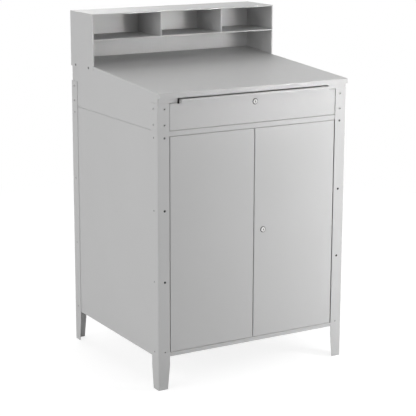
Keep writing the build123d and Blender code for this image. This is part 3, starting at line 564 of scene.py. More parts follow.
    def build_rings(self) -> Tree:
        """Build the fine rings that a lathe leaves on a round face.

        Returns:
            The node group.
        """
        smear_scale, smear_share, depth = 300.0, 0.16, 0.5
        sheet, given = effect("turned_face", {
            "Centre": (Kind.VECTOR, (0.0, 0.0, 0.0)),
            "Rings": (Kind.NUMBER, 2600.0),
            "Roughness": (Kind.NUMBER, 0.14),
        }, {"Roughness": Kind.NUMBER, "Height": Kind.NUMBER})
        place = sheet.vector("SUBTRACT", sheet.place(), given["Centre"]).outputs[0]
        flat = sheet.vector("MULTIPLY", place, (1.0, 0.0, 1.0)).outputs[0]
        radius = sheet.vector("LENGTH", flat).outputs["Value"]
        wave = sheet.math("SINE", sheet.math("MULTIPLY", radius, given["Rings"]))
        smear = sheet.swing(sheet.noise(smear_scale, 4.0), smear_share)
        return close_effect(sheet, {
            "Roughness": sheet.math("ADD", given["Roughness"], smear, clamp=True),
            "Height": sheet.math("MULTIPLY", wave, depth),
        })


# ---------------------------------------------------------------- finishes
@dataclass(frozen=True)
class Finish:
    """A finish with a fine relief."""

    name: str
    tone: float = 0.56
    roughness: float = 0.46
    METALLIC: ClassVar[float] = 0.0
    RELIEF: ClassVar[tuple[float, float]] = (0.05, 0.35)  # depth in millimetres, and strength

    def make(self, effects: Effects) -> Material:
        """Make the material.

        Args:
            effects: The surface effects.

        Returns:
            The material.
        """
        material = bpy.data.materials.new(self.name)
        material.use_nodes = True
        shader = material.node_tree.nodes["Principled BSDF"]
        shader.inputs["Metallic"].default_value = self.METALLIC
        sheet = Sheet(material.node_tree)
        colour, rough, height = self.skin(sheet, effects)
        depth, strength = self.RELIEF
        inputs = {"Height": height, "Distance": depth * MM, "Strength": strength}
        bump = sheet.add("ShaderNodeBump", inputs)
        sheet.tree.links.new(colour, shader.inputs["Base Color"])
        sheet.tree.links.new(rough, shader.inputs["Roughness"])
        sheet.tree.links.new(bump.outputs["Normal"], shader.inputs["Normal"])
        return material

    def coated(self, sheet: Sheet, tree: Tree, warm: float, detail: dict[str, float]) -> Any:
        """Add the effect that makes the finish and return its outputs."""
        look = {"Tone": grey(self.tone, warm), "Roughness": self.roughness}
        return sheet.group(tree, {**look, **detail})

    def skin(self, sheet: Sheet, effects: Effects) -> Skin:
        """Return the colour, the roughness and the height of the relief."""
        raise NotImplementedError


@dataclass(frozen=True)
class PowderCoat(Finish):
    """Satin powder coat on sheet steel, with dust and rubbed bands."""

    dust: float = 0.0
    rub: tuple[float, float, float] = (0.0, 0.0, 0.0)  # low, high and strength
    peel: float = 260.0
    rub_tone: float = 0.55  # brightness of a rubbed spot to that of the coat
    rub_shine: float = 0.12

    def skin(self, sheet: Sheet, effects: Effects) -> Skin:
        """Make the coat with its dust and rubs.

        Args:
            sheet: Nodes of the material.
            effects: The surface effects.

        Returns:
            Its colour, its roughness and the height of its relief.
        """
        coat = self.coated(sheet, effects.powder, 0.0, {"Peel": self.peel})
        colour, rough = coat["Color"], coat["Roughness"]
        if self.dust > 0.0:
            inputs = {"Color": colour, "Roughness": rough, "Amount": self.dust}
            film = sheet.group(effects.dust, inputs)
            colour, rough = film["Color"], film["Roughness"]
        low, high, strength = self.rub
        if strength > 0.0:
            inputs = {"Low": low, "High": high, "Strength": strength}
            mask = sheet.group(effects.rub, inputs)["Mask"]
            colour = sheet.mixed(mask, colour, grey(self.tone * self.rub_tone, 0.02))
            shine = sheet.math("MULTIPLY", mask, self.rub_shine)
            rough = sheet.math("SUBTRACT", rough, shine, clamp=True)
        return colour, rough, coat["Height"]


@dataclass(frozen=True)
class ZincPlate(Finish):
    """Zinc plate on steel hardware."""

    crystal: float = 160.0
    METALLIC = 1.0
    RELIEF = (0.03, 0.3)

    def skin(self, sheet: Sheet, effects: Effects) -> Skin:
        """Return the colour, the roughness and the height of the crystals."""
        zinc = self.coated(sheet, effects.spangle, -0.01, {"Crystal": self.crystal})
        return zinc["Color"], zinc["Roughness"], zinc["Height"]


@dataclass(frozen=True)
class TurnedChrome(Finish):
    """Chrome plate with the rings of the lathe under it."""

    centre: tuple[float, float, float] = (0.0, 0.0, 0.0)
    tarnish_scale: float = 90.0
    tarnish_tone: float = 0.9
    METALLIC = 1.0
    RELIEF = (0.02, 0.25)

    def skin(self, sheet: Sheet, effects: Effects) -> Skin:
        """Make the plate with its tarnish.

        Args:
            sheet: Nodes of the material.
            effects: The surface effects.

        Returns:
            Its colour, its roughness and the height of its rings.
        """
        face = sheet.group(effects.rings, {"Centre": self.centre, "Roughness": self.roughness})
        tarnish = sheet.ramp(sheet.noise(self.tarnish_scale, 4.0), 0.3, 0.8)
        dull = grey(self.tone * self.tarnish_tone, 0.02)
        return sheet.mixed(tarnish, grey(self.tone), dull), face["Roughness"], face["Height"]


@dataclass(frozen=True)
class MouldedNylon(Finish):
    """Natural nylon of the door bushings."""

    tone: float = 0.72
    roughness: float = 0.5
    peel: float = 900.0
    RELIEF = (0.02, 0.3)

    def skin(self, sheet: Sheet, effects: Effects) -> Skin:
        """Return the colour, the roughness and the height of the moulded skin."""
        nylon = self.coated(sheet, effects.powder, 0.03, {"Peel": self.peel})
        return nylon["Color"], nylon["Roughness"], nylon["Height"]


# ---------------------------------------------------------------- fasteners
def cross_recess(width: float, depth: float, top: float) -> list[Solid]:
    """Make the cutters of a cross recess.

    Args:
        width: Width of the recess, in millimetres.
        depth: Its depth.
        top: Height of its mouth.

    Returns:
        The two cutters.
    """
    arm_share, floor_share = 0.36, 0.7
    arm = width * arm_share
    wings = []
    for size in ((width, arm, depth * 2), (arm, width, depth * 2)):
        wing = block(size, (0, 0, top))
        low = [v for v in wing.verts if v.co.z < top * MM]
        bmesh.ops.scale(wing, vec=(floor_share, floor_share, 1.0), verts=low)
        wings.append(wing)
    return wings


def thread(radius: float, start: float, end: float, pitch: float, depth: float) -> Profile:
    """Draw the zigzag profile of a thread.

    Args:
        radius: Its outer radius, in millimetres.
        start: Height at which it starts.
        end: Height at which it ends.
        pitch: Distance between its crests.
        depth: Depth of its grooves.

    Returns:
        The points of the profile.
    """
    root, crest = 0.05, 0.5  # their places along one turn
    count = int(abs(end - start) / pitch)
    step = (end - start) / count
    points = []
    for i in range(count):
        points.append((radius - depth, start + step * (i + root)))
        points.append((radius, start + step * (i + crest)))
    points.append((radius - depth, end))
    return points


@dataclass(frozen=True)
class Screw:
    """A headed screw about the Z axis, with its head standing on zero, in millimetres."""

    head_radius: float
    head_height: float
    shank_radius: float
    length: float
    pitch: float
    crown: float  # share of the head height that is domed
    recess: float  # width of the cross recess
    pointed: bool = False
    rim: float = 0.12  # chamfer under the head
    neck: float = 0.4  # plain length under the head
    dome_steps: int = 6
    point_length: float = 2.6
    blunt_length: float = 0.5
    groove_share: float = 0.18  # depth of the thread to the radius of the shank
    neck_share: float = 0.82
    end_share: float = 0.62
    recess_share: float = 0.7  # depth of the recess to the height of the head

    def head(self) -> Profile:
        """Draw the head from the axis to the underside.

        Returns:
            The points of the profile.
        """
        wall = self.head_height * (1 - self.crown)
        rise = self.head_height - wall
        points = []
        for i in range(self.dome_steps + 1):
            angle = math.pi / 2 * i / self.dome_steps
            points.append((self.head_radius * math.sin(angle), wall + rise * math.cos(angle)))
        points.append((self.head_radius, self.rim))
        points.append((self.head_radius - self.rim, 0.0))
        return points

    def solid(self) -> Solid:
        """Make the screw with its recess.

        Returns:
            The screw, whose recess has the second finish.
        """
        radius, end = self.shank_radius, -self.length
        tip = self.point_length if self.pointed else self.blunt_length
        groove = self.groove_share * radius
        shank = thread(radius, -self.neck, tip + end, self.pitch, groove)
        profile = [*self.head(), (radius * self.neck_share, 0.0), *shank]
        if not self.pointed:
            profile.append((radius * self.end_share, end))
        profile.append((0.0, end))
        body = lathe(profile, Turn.SMALL if self.pointed else Turn.ROUND)
        depth = self.head_height * self.recess_share
        screw = carved(body, *cross_recess(self.recess, depth, self.head_height))
        # Faces inside the cross recess take the second finish, a near-black painted shade.
        for face in screw.faces:
            middle = middle_of(face)
            out = math.hypot(middle.x, middle.y)
            if out < self.recess / 2 and 0.0 < middle.z < self.dome(out) - self.rim:
                face.material_index = Coat.SECOND
        return screw

    def dome(self, out: float) -> float:
        """Find how high the head's top is.

        Args:
            out: Distance from the screw's axis, in millimetres.

        Returns:
            The height there.
        """
        wall = self.head_height * (1 - self.crown)
        slope = math.sqrt(max(0.0, 1 - (out / self.head_radius) ** 2))
        return wall + (self.head_height - wall) * slope


@dataclass
class LegFasteners:
    """Bolts, nuts and screws that join the four angle legs to the sheets, in millimetres."""

    half_width: float = 438.0
    half_depth: float = 381.0
    inset: float = 30.0
    bolt_rows: tuple[float, ...] = (1124.0, 1062.0)
    screw_rows: tuple[float, ...] = (1012.0, 726.5, 441.0, 155.5)
    row_margin: float = 50.0
    end_roll: tuple[float, float] = (25.0, 40.0)  # turn in the first row, and step to the next
    side_roll: tuple[float, float] = (60.0, -35.0)
    grip: float = 3.2  # leg and sheet
    nut_flats: float = 10.0
    nut_height: float = 5.0
    nut_chamfer: float = 0.5
    nut_bore: float = 3.02
    bolt: Screw = Screw(5.8, 2.6, 3.0, 12.0, 1.0, 0.72, 7.4)
    screw: Screw = Screw(4.8, 1.4, 2.2, 9.0, 1.4, 0.85, 6.0, True)

    def places(self, heights: Sequence[float], depth: float = 0.0) -> list[Matrix]:
        """Find a place on each flange of each leg.

        Args:
            heights: Heights of the rows, in millimetres.
            depth: Depth behind the flange's face.

        Returns:
            The places, facing outwards.
        """
        out = []
        for side in (-1, 1):
            for end in (-1, 1):
                for k, z in enumerate(heights):
                    x, y = side * (self.half_width - self.inset), end * (self.half_depth - depth)
                    roll = self.end_roll[0] + self.end_roll[1] * k
                    out.append(facing((x, y, z), (0, end, 0), roll))
                    x, y = side * (self.half_width - depth), end * (self.half_depth - self.inset)
                    roll = self.side_roll[0] + self.side_roll[1] * k
                    out.append(facing((x, y, z), (side, 0, 0), roll))
        return out

    def nut(self) -> Solid:
        """Return a nut below the XY plane, bored for its bolt."""
        bar = hex_nut(self.nut_flats, self.nut_height, self.nut_chamfer)
        return carved(bar, drill(self.nut_bore, -self.nut_height, 0.0, Turn.SMALL))

    def colour_screws(self, screws: Solid) -> None:
        """Blacken the middle screws of front and back, and leave the front's top ones zinc.

        Args:
            screws: All the screws of the legs.
        """
        high = self.screw_rows[0] - self.row_margin
        low = self.screw_rows[-1] + self.row_margin
        for face in screws.faces:
            middle = middle_of(face)
            if abs(middle.x) >= self.half_width - self.inset / 2:
                continue
            if low < middle.z < high:
                face.material_index = Coat.THIRD
            elif middle.y < 0 and middle.z > high and face.material_index == Coat.MAIN:
                face.material_index = Coat.FOURTH

    def build(self, finishes: Finishes) -> None:
        """Make all the leg fasteners.

        Args:
            finishes: The shared finishes.
        """
        # The second finish is the near-black painted shade in the recesses.
        names = ("painted_bolt", "recess_painted_shade", "black_screw", "dull_zinc")
        coats = [finishes[name] for name in names]
        bolts = copies(self.bolt.solid(), self.places(self.bolt_rows))
        piece("leg_pan_bolts", bolts, coats, "carcass", ["leg_bolts"])
        nuts = copies(self.nut(), self.places(self.bolt_rows, self.grip))
        piece("leg_hex_nuts", nuts, [finishes["zinc"]], "carcass", ["leg_bolt_nuts"])
        screws = copies(self.screw.solid(), self.places(self.screw_rows))
        self.colour_screws(screws)
        piece("leg_low_screws", screws, coats, "carcass", ["leg_screws"])


@dataclass
class RiserScrews:
    """Screws at the foot of the riser sides, in millimetres."""

    half_width: float = 438.0
    rows: tuple[float, ...] = (213.5, 336.7)
    height: float = 1214.8
    roll: float = 20.0
    screw: Screw = Screw(5.6, 2.2, 2.2, 9.0, 1.4, 0.8, 7.0, True)

    def build(self, finishes: Finishes) -> None:
        """Make the screws.

        Args:
            finishes: The shared finishes.
        """
        places = [
            facing((side * self.half_width, y, self.height), (side, 0, 0), self.roll)
            for side in (-1, 1) for y in self.rows
        ]
        screws = copies(self.screw.solid(), places)
        # The second finish is the near-black painted shade in the recesses.
        coats = [finishes["dull_zinc"], finishes["recess_painted_shade"]]
        piece("riser_low_screws", screws, coats, "carcass", ["riser_screws"])


# ---------------------------------------------------------------- locks
class CamRest(Enum):
    """Direction in which a cam points when unlocked, in degrees seen from the front."""

    LEFT = 180.0
    UP = 90.0


@dataclass
class CamLock:
    """A cam lock behind the face of the drawer or of the right door, in millimetres."""

    node: str
    holder: str  # body that the housing rides on
    turning: str  # body that the plug and the cam ride on
    x: float
    z: float
    barrel: float
    reach: float
    rest: CamRest
    face_y: float = -380.0
    face_radius: float = 12.5
    face_height: float = 2.5
    face_slope: float = 3.2  # width of the slope round the face
    barrel_radius: float = 9.5
    barrel_pitch: float = 1.2
    bore_radius: float = 6.05
    plug_radius: float = 6.0
    keyway: tuple[float, float] = (2.6, 8.6)
    keyway_depth: float = 4.0
    ward: tuple[float, float] = (3.6, 2.4)
    ward_place: tuple[float, float] = (1.0, -1.9)
    keyway_reach: float = 4.6  # distance from the axis that holds the whole keyway
    tail_radius: float = 4.0
    cam_gap: float = 1.5
    cam_sheet: float = 2.0
    cam_width: float = 12.0
    cam_flat: float = 0.02  # half of what stays flat at its round ends
    cam_chamfer: float = 0.25
    sheet: float = 1.2
    nut_height: float = 4.0
    nut_flats: float = 22.5
    nut_chamfer: float = 0.6

    def place(self, depth: float = 0.0, roll: float = 0.0) -> Matrix:
        """Find the lock's own place, facing out of the panel.

        Args:
            depth: Depth behind the panel's face, in millimetres.
            roll: Turn about the lock's axis, in degrees.

        Returns:
            The place.
        """
        base = Matrix.Translation([self.x * MM, (self.face_y + depth) * MM, self.z * MM])
        upright = Matrix.Rotation(math.pi / 2, 4, "X")
        return base @ upright @ Matrix.Rotation(math.radians(roll), 4, "Z")

    def centre(self) -> tuple[float, float, float]:
        """Return the middle of the face, in metres."""
        return (self.x * MM, self.face_y * MM, self.z * MM)

    def housing(self) -> Solid:
        """Make the threaded barrel with its stepped face.

        Returns:
            The housing, whose slope has the second finish.
        """
        top, edge, bore, low = self.face_height, self.face_radius, self.bore_radius, -self.barrel
        groove, flat = 0.45, 0.99  # flat: a face with more of its normal along the axis
        profile = [
            (bore, low), (self.barrel_radius - 2 * groove, low),
            *thread(self.barrel_radius, low + 0.8, -1.4, self.barrel_pitch, groove),
            (self.barrel_radius - 0.3, 0.0), (edge, 0.0), (edge, 0.35), (edge - 0.5, 1.15),
            (edge - 1.4, 1.8), (edge - 2.5, top - 0.22), (edge - self.face_slope, top),
            (8.5, top), (8.2, top - 0.35), (7.2, top - 0.35), (6.9, top),
            (bore + 0.15, top), (bore, top - 0.15),
        ]
        barrel = lathe(profile, Turn.FACE, ring=True)
        # Faces of the sloped rim take the second finish, a dark chrome that paints in a dark
        # reflection.
        for face in barrel.faces:
            middle = middle_of(face)
            outer = math.hypot(middle.x, middle.y) > edge - self.face_slope
            if middle.z > 0.0 and outer and face.normal.z < flat:
                face.material_index = Coat.SECOND
        return barrel

    def plug(self) -> Solid:
        """Make the plug with its keyway, and the tail behind it.

        Returns:
            The plug, whose keyway has the second finish.
        """
        top, end = self.face_height, self.barrel + self.cam_gap + self.cam_sheet
        profile = [
            (0.0, top - 0.05), (self.plug_radius - 0.5, top - 0.05), (self.plug_radius, top - 0.4),
            (self.plug_radius, -self.barrel), (self.tail_radius, -self.barrel),
            (self.tail_radius, 0.4 - end), (self.tail_radius - 0.4, -end), (0.0, -end),
        ]
        deep = 2 * self.keyway_depth
        slot = block((*self.keyway, deep), (0, 0, top))
        ward = block((*self.ward, deep), (*self.ward_place, top))
        plug = carved(lathe(profile), slot, ward)
        margin = 0.2
        # Keyway faces take the second finish, a near-black painted shade.
        for face in plug.faces:
            middle = middle_of(face)
            inner = math.hypot(middle.x, middle.y) < self.keyway_reach
            if inner and top - self.keyway_depth - margin < middle.z < top - margin:
                face.material_index = Coat.SECOND
        return plug

    def cam(self) -> Solid:
        """Make the flat cam along +X, half its sheet above and below zero.

        Returns:
            The cam, with the hole for the plug's tail.
        """
        half, end_segments, corner = self.cam_width / 2, 8, 1.0  # corner: least turn, in radians
        length = self.reach + half
        arm = block((length, self.cam_width, self.cam_sheet), (length / 2 - half, 0, 0))
        soften(arm, [e for e in arm.edges if not is_level(e)], half - self.cam_flat, end_segments)
        rims = [
            e for e in arm.edges
            if is_level(e) and len(e.link_faces) == 2 and e.calc_face_angle(0.0) > corner
        ]
        soften(arm, rims, self.cam_chamfer, 1)
        return carved(arm, drill(self.tail_radius, -self.cam_sheet / 2, self.cam_sheet / 2))

    def nut(self) -> Solid:
        """Return the thin nut that clamps the barrel."""
        bar = hex_nut(self.nut_flats, self.nut_height, self.nut_chamfer)
        return carved(bar, drill(self.barrel_radius, -self.nut_height, 0.0))

    def build(self, finishes: Finishes, effects: Effects) -> None:
        """Make the lock's pieces.

        Args:
            finishes: The shared finishes.
            effects: The surface effects.
        """
        # The bevel chrome is much darker than the face chrome: a painted dark reflection on the
        # sloped rim.
        looks = {"face": (0.82, 0.24), "bevel": (0.12, 0.35), "plug": (0.78, 0.22)}
        coat = {
            name: TurnedChrome(f"{self.node}_{name}_chrome", *look, self.centre()).make(effects)
            for name, look in looks.items()
        }
        # The plug's second finish is the near-black painted shade in the keyway.
        shell, keyed = [coat["face"], coat["bevel"]], [coat["plug"], finishes["recess_painted_shade"]]
        zinc, holder, turning = [finishes["zinc"]], self.holder, self.turning
        front, behind = self.place(), self.barrel + self.cam_gap + self.cam_sheet / 2
        back = self.place(behind, self.rest.value)
        rows = (
            ("face_and_barrel", "housing", self.housing(), front, shell, holder, "lock_chrome"),
            ("keyed_plug", "plug", self.plug(), front, keyed, turning, "lock_chrome"),
            ("hex_nut", "nut", self.nut(), self.place(self.sheet), zinc, holder, "zinc_steel"),
            ("flat_cam", "cam", self.cam(), back, zinc, turning, "zinc_steel"),
        )
        for name, part, bm, place, coats, body, slot in rows:
            bmesh.ops.transform(bm, matrix=place, verts=bm.verts)
            piece(f"{self.node}_{name}", bm, coats, body, [f"{self.node}_{part}"])


# ---------------------------------------------------------------- door hardware
@dataclass
class DoorHardware:
    """Pivot pins, bushings and the bolt of the left door, in millimetres."""

    pivot_x: float = 375.5
    pivot_y: float = -372.5
    door_low: float = 151.6
    door_high: float = 1015.3
    floor_z: float = 150.4
    rail_z: float = 1016.3
    sheet: float = 1.2
    pin_radius: float = 3.0
    pin_reach: float = 6.0
    pin_chamfer: float = 0.7
    collar_radius: float = 4.4
    collar: float = 3.0
    bush_play: float = 0.05
    bush_radius: float = 4.2
    bush_flange: float = 6.0
    bush_length: float = 3.6
    rod_x: float = -24.0
    rod_y: float = -371.0
    rod_radius: float = 4.0
    rod_tip: float = 1012.3
    rod_length: float = 130.0
    knob_up: float = 62.0
    knob_radius: float = 3.45
    knob_length: float = 20.0
    stem_radius: float = 2.2
    grip_start: float = 10.5
    grip_step: float = 0.9
    grip_depth: float = 0.35
    grip_points: int = 9

    def pin(self) -> Solid:
        """Make a pin that points up from the inside of a return, at zero.

        Returns:
            The pin with its collar.
        """
        end, low, cut = self.sheet + self.pin_reach, -self.collar, self.pin_chamfer
        return lathe([
            (0.0, low), (self.collar_radius - 0.4, low), (self.collar_radius, low + 0.4),
            (self.collar_radius, 0.0), (self.pin_radius, 0.0), (self.pin_radius, end - cut),
            (self.pin_radius - cut, end), (0.0, end),
        ])

    def bushing(self) -> Solid:
        """Make a bushing with its flange standing on the sheet's face, at zero.

        Returns:
            The bushing.
        """
        bore, outer, low = self.pin_radius + self.bush_play, self.bush_radius, -self.bush_length
        return lathe([
            (bore, low), (outer - 0.3, low), (outer, low + 0.3), (outer, 0.0),
            (self.bush_flange, 0.0), (self.bush_flange, 0.4), (self.bush_flange - 0.2, 0.6),
            (bore + 0.2, 0.6), (bore, 0.4),
        ], ring=True)

    def knob(self) -> Solid:
        """Make the bolt's knob, standing on zero.

        Returns:
            The knob with its ringed grip.
        """
        k, stem, end = self.knob_radius, self.stem_radius, self.knob_length
        grips = [
            (k - self.grip_depth * (i % 2), self.grip_start + i * self.grip_step)
            for i in range(self.grip_points)
        ]
        return lathe([
            (0.0, 0.0), (stem, 0.0), (stem, 9.0), (k - 0.4, 9.6), *grips,
            (k - 0.8, end - 0.3), (k - 1.6, end), (0.0, end),
        ])

    def rod(self) -> Solid:
        """Make the bolt with its knob.

        Returns:
            The bolt, in its place.
        """
        low, top, r = self.rod_tip - self.rod_length, self.rod_tip, self.rod_radius
        rod = lathe([
            (0.0, low), (r - 0.6, low), (r, low + 0.6), (r, top - 1.2), (r - 1.2, top), (0.0, top),
        ])
        bmesh.ops.translate(rod, vec=(self.rod_x * MM, self.rod_y * MM, 0), verts=rod.verts)
        knob = self.knob()
        place = facing((self.rod_x, self.rod_y, low + self.knob_up), (0, 1, 0))
        bmesh.ops.transform(knob, matrix=place, verts=knob.verts)
        mesh = to_mesh(knob, "knob")
        rod.from_mesh(mesh)
        bpy.data.meshes.remove(mesh)
        return rod

    def build(self, finishes: Finishes) -> None:
        """Make the door hardware.

        Args:
            finishes: The shared finishes.
        """
        zinc = [finishes["zinc"]]
        low, high = self.door_low + self.sheet, self.door_high - self.sheet
        seats = []
        for side, word in ((-1, "left"), (1, "right")):
            x, y = side * self.pivot_x, self.pivot_y
            places = [facing((x, y, low), (0, 0, -1)), facing((x, y, high), (0, 0, 1))]
            pins, name = copies(self.pin(), places), f"door_pivot_pins_{word}"
            piece(name, pins, zinc, f"door_{word}", [f"door_pins_{word}"])
            seats.append(facing((x, y, self.floor_z), (0, 0, 1)))
            seats.append(facing((x, y, self.rail_z), (0, 0, -1)))
        bushes, nylon = copies(self.bushing(), seats), [finishes["nylon"]]
        piece("door_flanged_bushings", bushes, nylon, "carcass", ["door_bushings"])
        piece("door_round_bolt", self.rod(), zinc, "door_bolt", ["door_bolt"])


# ---------------------------------------------------------------- sheet metal
@dataclass
class SheetMetal:
    """Finishes of the folded sheets that stay as the frame has them."""

    groups: dict[str, tuple[str, ...]] = field(default_factory=lambda: {
        "leg_paint": ("leg_front_left", "leg_front_right", "leg_rear_left", "leg_rear_right"),
        "body_paint": (
            "side_panel_left", "side_panel_right", "cabinet_back", "desk_back", "riser_side_left",
            "riser_side_right", "riser_back", "drawer_frame",
        ),
        "flat_paint": ("desktop_shell", "riser_top"),
        "door_paint": ("door_left", "door_right"),
        "drawer_paint": ("drawer_front",),
        "inner_paint": (
            "cabinet_floor", "cabinet_top", "cabinet_shelf", "shelf_bracket_left",
            "shelf_bracket_right", "riser_shelf", "riser_divider_left", "riser_divider_right",
            "drawer_tray", "drawer_ends", "door_stiffener_left", "door_stiffener_right",
        ),
        "galvanised": (
            "drawer_channel_left", "drawer_channel_right", "channel_brackets",
            "drawer_slide_left", "drawer_slide_right", "drawer_lock_strike", "door_bolt_straps",
        ),
    })

    def build(self, finishes: Finishes) -> None:
        """Give each sheet its finish.

        Args:
            finishes: The shared finishes.
        """
        for finish, names in self.groups.items():
            for name in names:
                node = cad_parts[name]
                if not node.material_slots:
                    node.data.materials.append(finishes[finish])
                for slot in node.material_slots:
                    slot.material = finishes[finish]
                log.info("%s has %s", name, finish)


# ---------------------------------------------------------------- studio
def aim(obj: bpy.types.Object, place: Sequence[float], along: Vector) -> None:
    """Place a lamp or a camera and turn it.

    Args:
        obj: The lamp or the camera.
        place: Where it stands.
        along: Direction in which it looks.
    """
    obj.location = place
    obj.rotation_mode = "QUATERNION"
    obj.rotation_quaternion = along.to_track_quat("-Z", "Y")


def blank_sheet(owner: bpy.types.ID) -> Sheet:
    """Empty the node tree of a world or a material.

    Args:
        owner: The world or the material.

    Returns:
        Its sheet.
    """
    owner.use_nodes = True
    owner.node_tree.nodes.clear()
    return Sheet(owner.node_tree)


@dataclass(frozen=True)
class Softbox:
    """A square or oblong lamp that looks at a point, in metres."""

    name: str
    place: tuple[float, float, float]
    target: tuple[float, float, float]
    size: tuple[float, float]
    watts: float
    mirrored: bool = True  # whether metal shows the lamp
    spread: float = 180.0  # angle of its beam, in degrees

    def build(self) -> None:
        """Hang the lamp."""
        lamp = bpy.data.lights.new(self.name, "AREA")
        lamp.shape = "RECTANGLE"
        lamp.size, lamp.size_y = self.size
        lamp.energy = self.watts
        lamp.spread = math.radians(self.spread)
        obj = new_object(self.name, lamp)
        aim(obj, self.place, Vector(self.target) - Vector(self.place))
        obj.visible_camera, obj.visible_glossy = False, self.mirrored


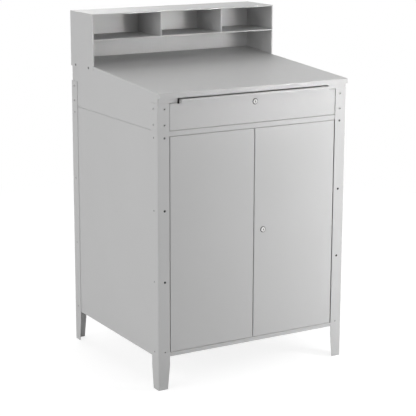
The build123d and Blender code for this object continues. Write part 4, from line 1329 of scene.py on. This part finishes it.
@dataclass
class Studio:
    """Floor, white surroundings, lamps and camera, with lengths in metres."""

    eye: tuple[float, float, float] = (-2.9388, -4.9909, 1.9807)
    heading: float = 0.5193  # radians to the right of +Y
    tilt: float = 0.2175  # radians below the horizon
    focal_px: float = 1403.7
    centre_px: tuple[float, float] = (188.26, 188.0)
    image_px: float = 416.0
    sensor: float = 36.0
    far_clip: float = 200.0
    ambient: float = 0.10
    floor_half: float = 60.0
    floor_tone: float = 0.8
    floor_fade: tuple[float, float] = (1.5, 3.4)  # distances between which the shadow fades out
    near_share: float = 0.6
    near_glow: float = 1.34
    lamps: tuple[Softbox, ...] = (
        Softbox("key_front_right", (1.6, -5.3, 1.9), (0.0, 0.0, 0.9), (1.4, 1.0), 15.8),
        Softbox("riser_beam", (1.8, -5.2, 1.5), (-0.02, 0.3, 1.64), (0.7, 0.4), 1.3, False, 15.0),
        Softbox("riser_fill", (0.15, -2.0, 1.7), (0.15, 0.2, 1.35), (1.2, 0.5), 5.9, False),
        Softbox("corner_strip", (1.1, -1.25, 0.9), (0.35, -0.38, 0.65), (0.3, 1.75), 13.6, False),
        Softbox("wide_left", (-4.2, -0.6, 2.0), (-0.4, 0.0, 0.8), (3.0, 3.0), 91.6),
        Softbox("wide_right", (4.2, 0.6, 2.0), (0.4, 0.0, 0.8), (3.0, 3.0), 60.0),
        Softbox("wide_rear", (0.6, 4.8, 2.2), (0.0, 0.0, 0.8), (3.0, 3.0), 60.0),
        Softbox("overhead_rear", (-0.2, 1.9, 4.0), (0.0, 0.0, 1.2), (2.4, 2.4), 40.6),
        Softbox("overhead_right", (1.0, -0.9, 3.4), (0.2, -0.2, 1.1), (1.2, 1.2), 6.2),
    )

    def camera(self) -> None:
        """Set up the camera."""
        cam = bpy.data.cameras.new("desk_camera")
        cam.sensor_width, cam.lens = self.sensor, self.focal_px / self.image_px * self.sensor
        half = self.image_px / 2
        cam.shift_x = (half - self.centre_px[0]) / self.image_px
        cam.shift_y = (self.centre_px[1] - half) / self.image_px
        cam.clip_end = self.far_clip
        obj = new_object("desk_camera", cam)
        level = math.cos(self.tilt)
        right, ahead = math.sin(self.heading) * level, math.cos(self.heading) * level
        aim(obj, self.eye, Vector((right, ahead, -math.sin(self.tilt))))
        bpy.context.scene.camera = obj

    def seen_directly(self, sheet: Sheet) -> Socket:
        """Tell the rays that show the surroundings white, straight or in metal and glass.

        Args:
            sheet: Nodes of the world or of the floor.

        Returns:
            1 for these rays and 0 for the others.
        """
        path = sheet.add("ShaderNodeLightPath").outputs
        seen = sheet.math("MAXIMUM", path["Is Camera Ray"], path["Is Glossy Ray"])
        return sheet.math("MAXIMUM", seen, path["Is Transmission Ray"])

    def world(self) -> None:
        """Make the surroundings white to look at and soft as light."""
        world = bpy.data.worlds.new("white_room")
        bpy.context.scene.world = world
        sheet = blank_sheet(world)
        dim = sheet.add("ShaderNodeBackground", {"Color": grey(1.0), "Strength": self.ambient})
        bright = sheet.add("ShaderNodeBackground", {"Color": grey(1.0), "Strength": 1.0})
        inputs = {0: self.seen_directly(sheet), 1: dim.outputs[0], 2: bright.outputs[0]}
        mix = sheet.add("ShaderNodeMixShader", inputs)
        sheet.add("ShaderNodeOutputWorld", {"Surface": mix.outputs[0]})

    def floor(self) -> None:
        """Lay a pale floor that keeps a soft shadow."""
        bm = bmesh.new()
        bmesh.ops.create_grid(bm, x_segments=1, y_segments=1, size=self.floor_half)
        obj = new_object("studio_floor", to_mesh(bm, "studio_floor"))
        material = bpy.data.materials.new("pale_floor")
        sheet = blank_sheet(material)
        matte = sheet.add("ShaderNodeBsdfDiffuse", {"Color": grey(self.floor_tone)})
        flat = sheet.vector("MULTIPLY", sheet.place(), (1.0, 1.0, 0.0)).outputs[0]
        away = sheet.vector("LENGTH", flat).outputs["Value"]
        strength = sheet.ramp(away, *self.floor_fade, self.near_glow, 1.0)
        glow = sheet.add("ShaderNodeEmission", {"Color": grey(1.0), "Strength": strength})
        bare = sheet.ramp(away, *self.floor_fade, self.near_share, 1.0)
        share = sheet.math("MULTIPLY", self.seen_directly(sheet), bare)
        mix = sheet.add("ShaderNodeMixShader", {0: share, 1: matte.outputs[0], 2: glow.outputs[0]})
        sheet.add("ShaderNodeOutputMaterial", {"Surface": mix.outputs[0]})
        obj.data.materials.append(material)

    def build(self) -> None:
        """Set up the whole studio."""
        bpy.context.scene.view_settings.view_transform = "Standard"
        self.camera()
        self.world()
        self.floor()
        for lamp in self.lamps:
            lamp.build()


# ---------------------------------------------------------------- the desk
def make_finishes(effects: Effects) -> Finishes:
    """Make every shared finish.

    Args:
        effects: The surface effects.

    Returns:
        Materials by name.
    """
    finishes = (
        PowderCoat("leg_paint", rub=(0.0, 0.035, 0.5)),
        PowderCoat("body_paint"),
        PowderCoat("flat_paint", dust=0.10),
        PowderCoat("door_paint"),
        PowderCoat("drawer_paint", rub=(1.140, 1.164, 0.25)),
        PowderCoat("inner_paint", roughness=0.52, dust=0.06),
        PowderCoat("painted_bolt", roughness=0.2, peel=900.0),
        # Near-black finish for screw recesses and keyways: painted shade inside the recesses.
        PowderCoat("recess_painted_shade", 0.03, 0.7, peel=900.0),
        PowderCoat("black_screw", 0.012, 0.6, peel=900.0),
        ZincPlate("galvanised", 0.55, 0.42, 220.0),
        ZincPlate("zinc", 0.62, 0.28, 700.0),
        ZincPlate("dull_zinc", 0.22, 0.45, 700.0),
        MouldedNylon("nylon"),
    )
    return {finish.name: finish.make(effects) for finish in finishes}


def main() -> None:
    """Build the desk and its studio."""
    logging.basicConfig(level=logging.INFO, format="%(name)s: %(message)s")
    effects = Effects()
    finishes = make_finishes(effects)
    SheetMetal().build(finishes)
    LegFasteners().build(finishes)
    RiserScrews().build(finishes)
    DoorHardware().build(finishes)
    locks = (
        CamLock("drawer_lock", "drawer", "drawer_lock", 0.0, 1122.8, 16.0, 24.0, CamRest.LEFT),
        CamLock("door_lock", "door_right", "door_lock", 43.2, 598.9, 19.0, 55.0, CamRest.UP),
    )
    for lock in locks:
        lock.build(finishes, effects)
    Studio().build()


if __name__ == "__main__":
    main()
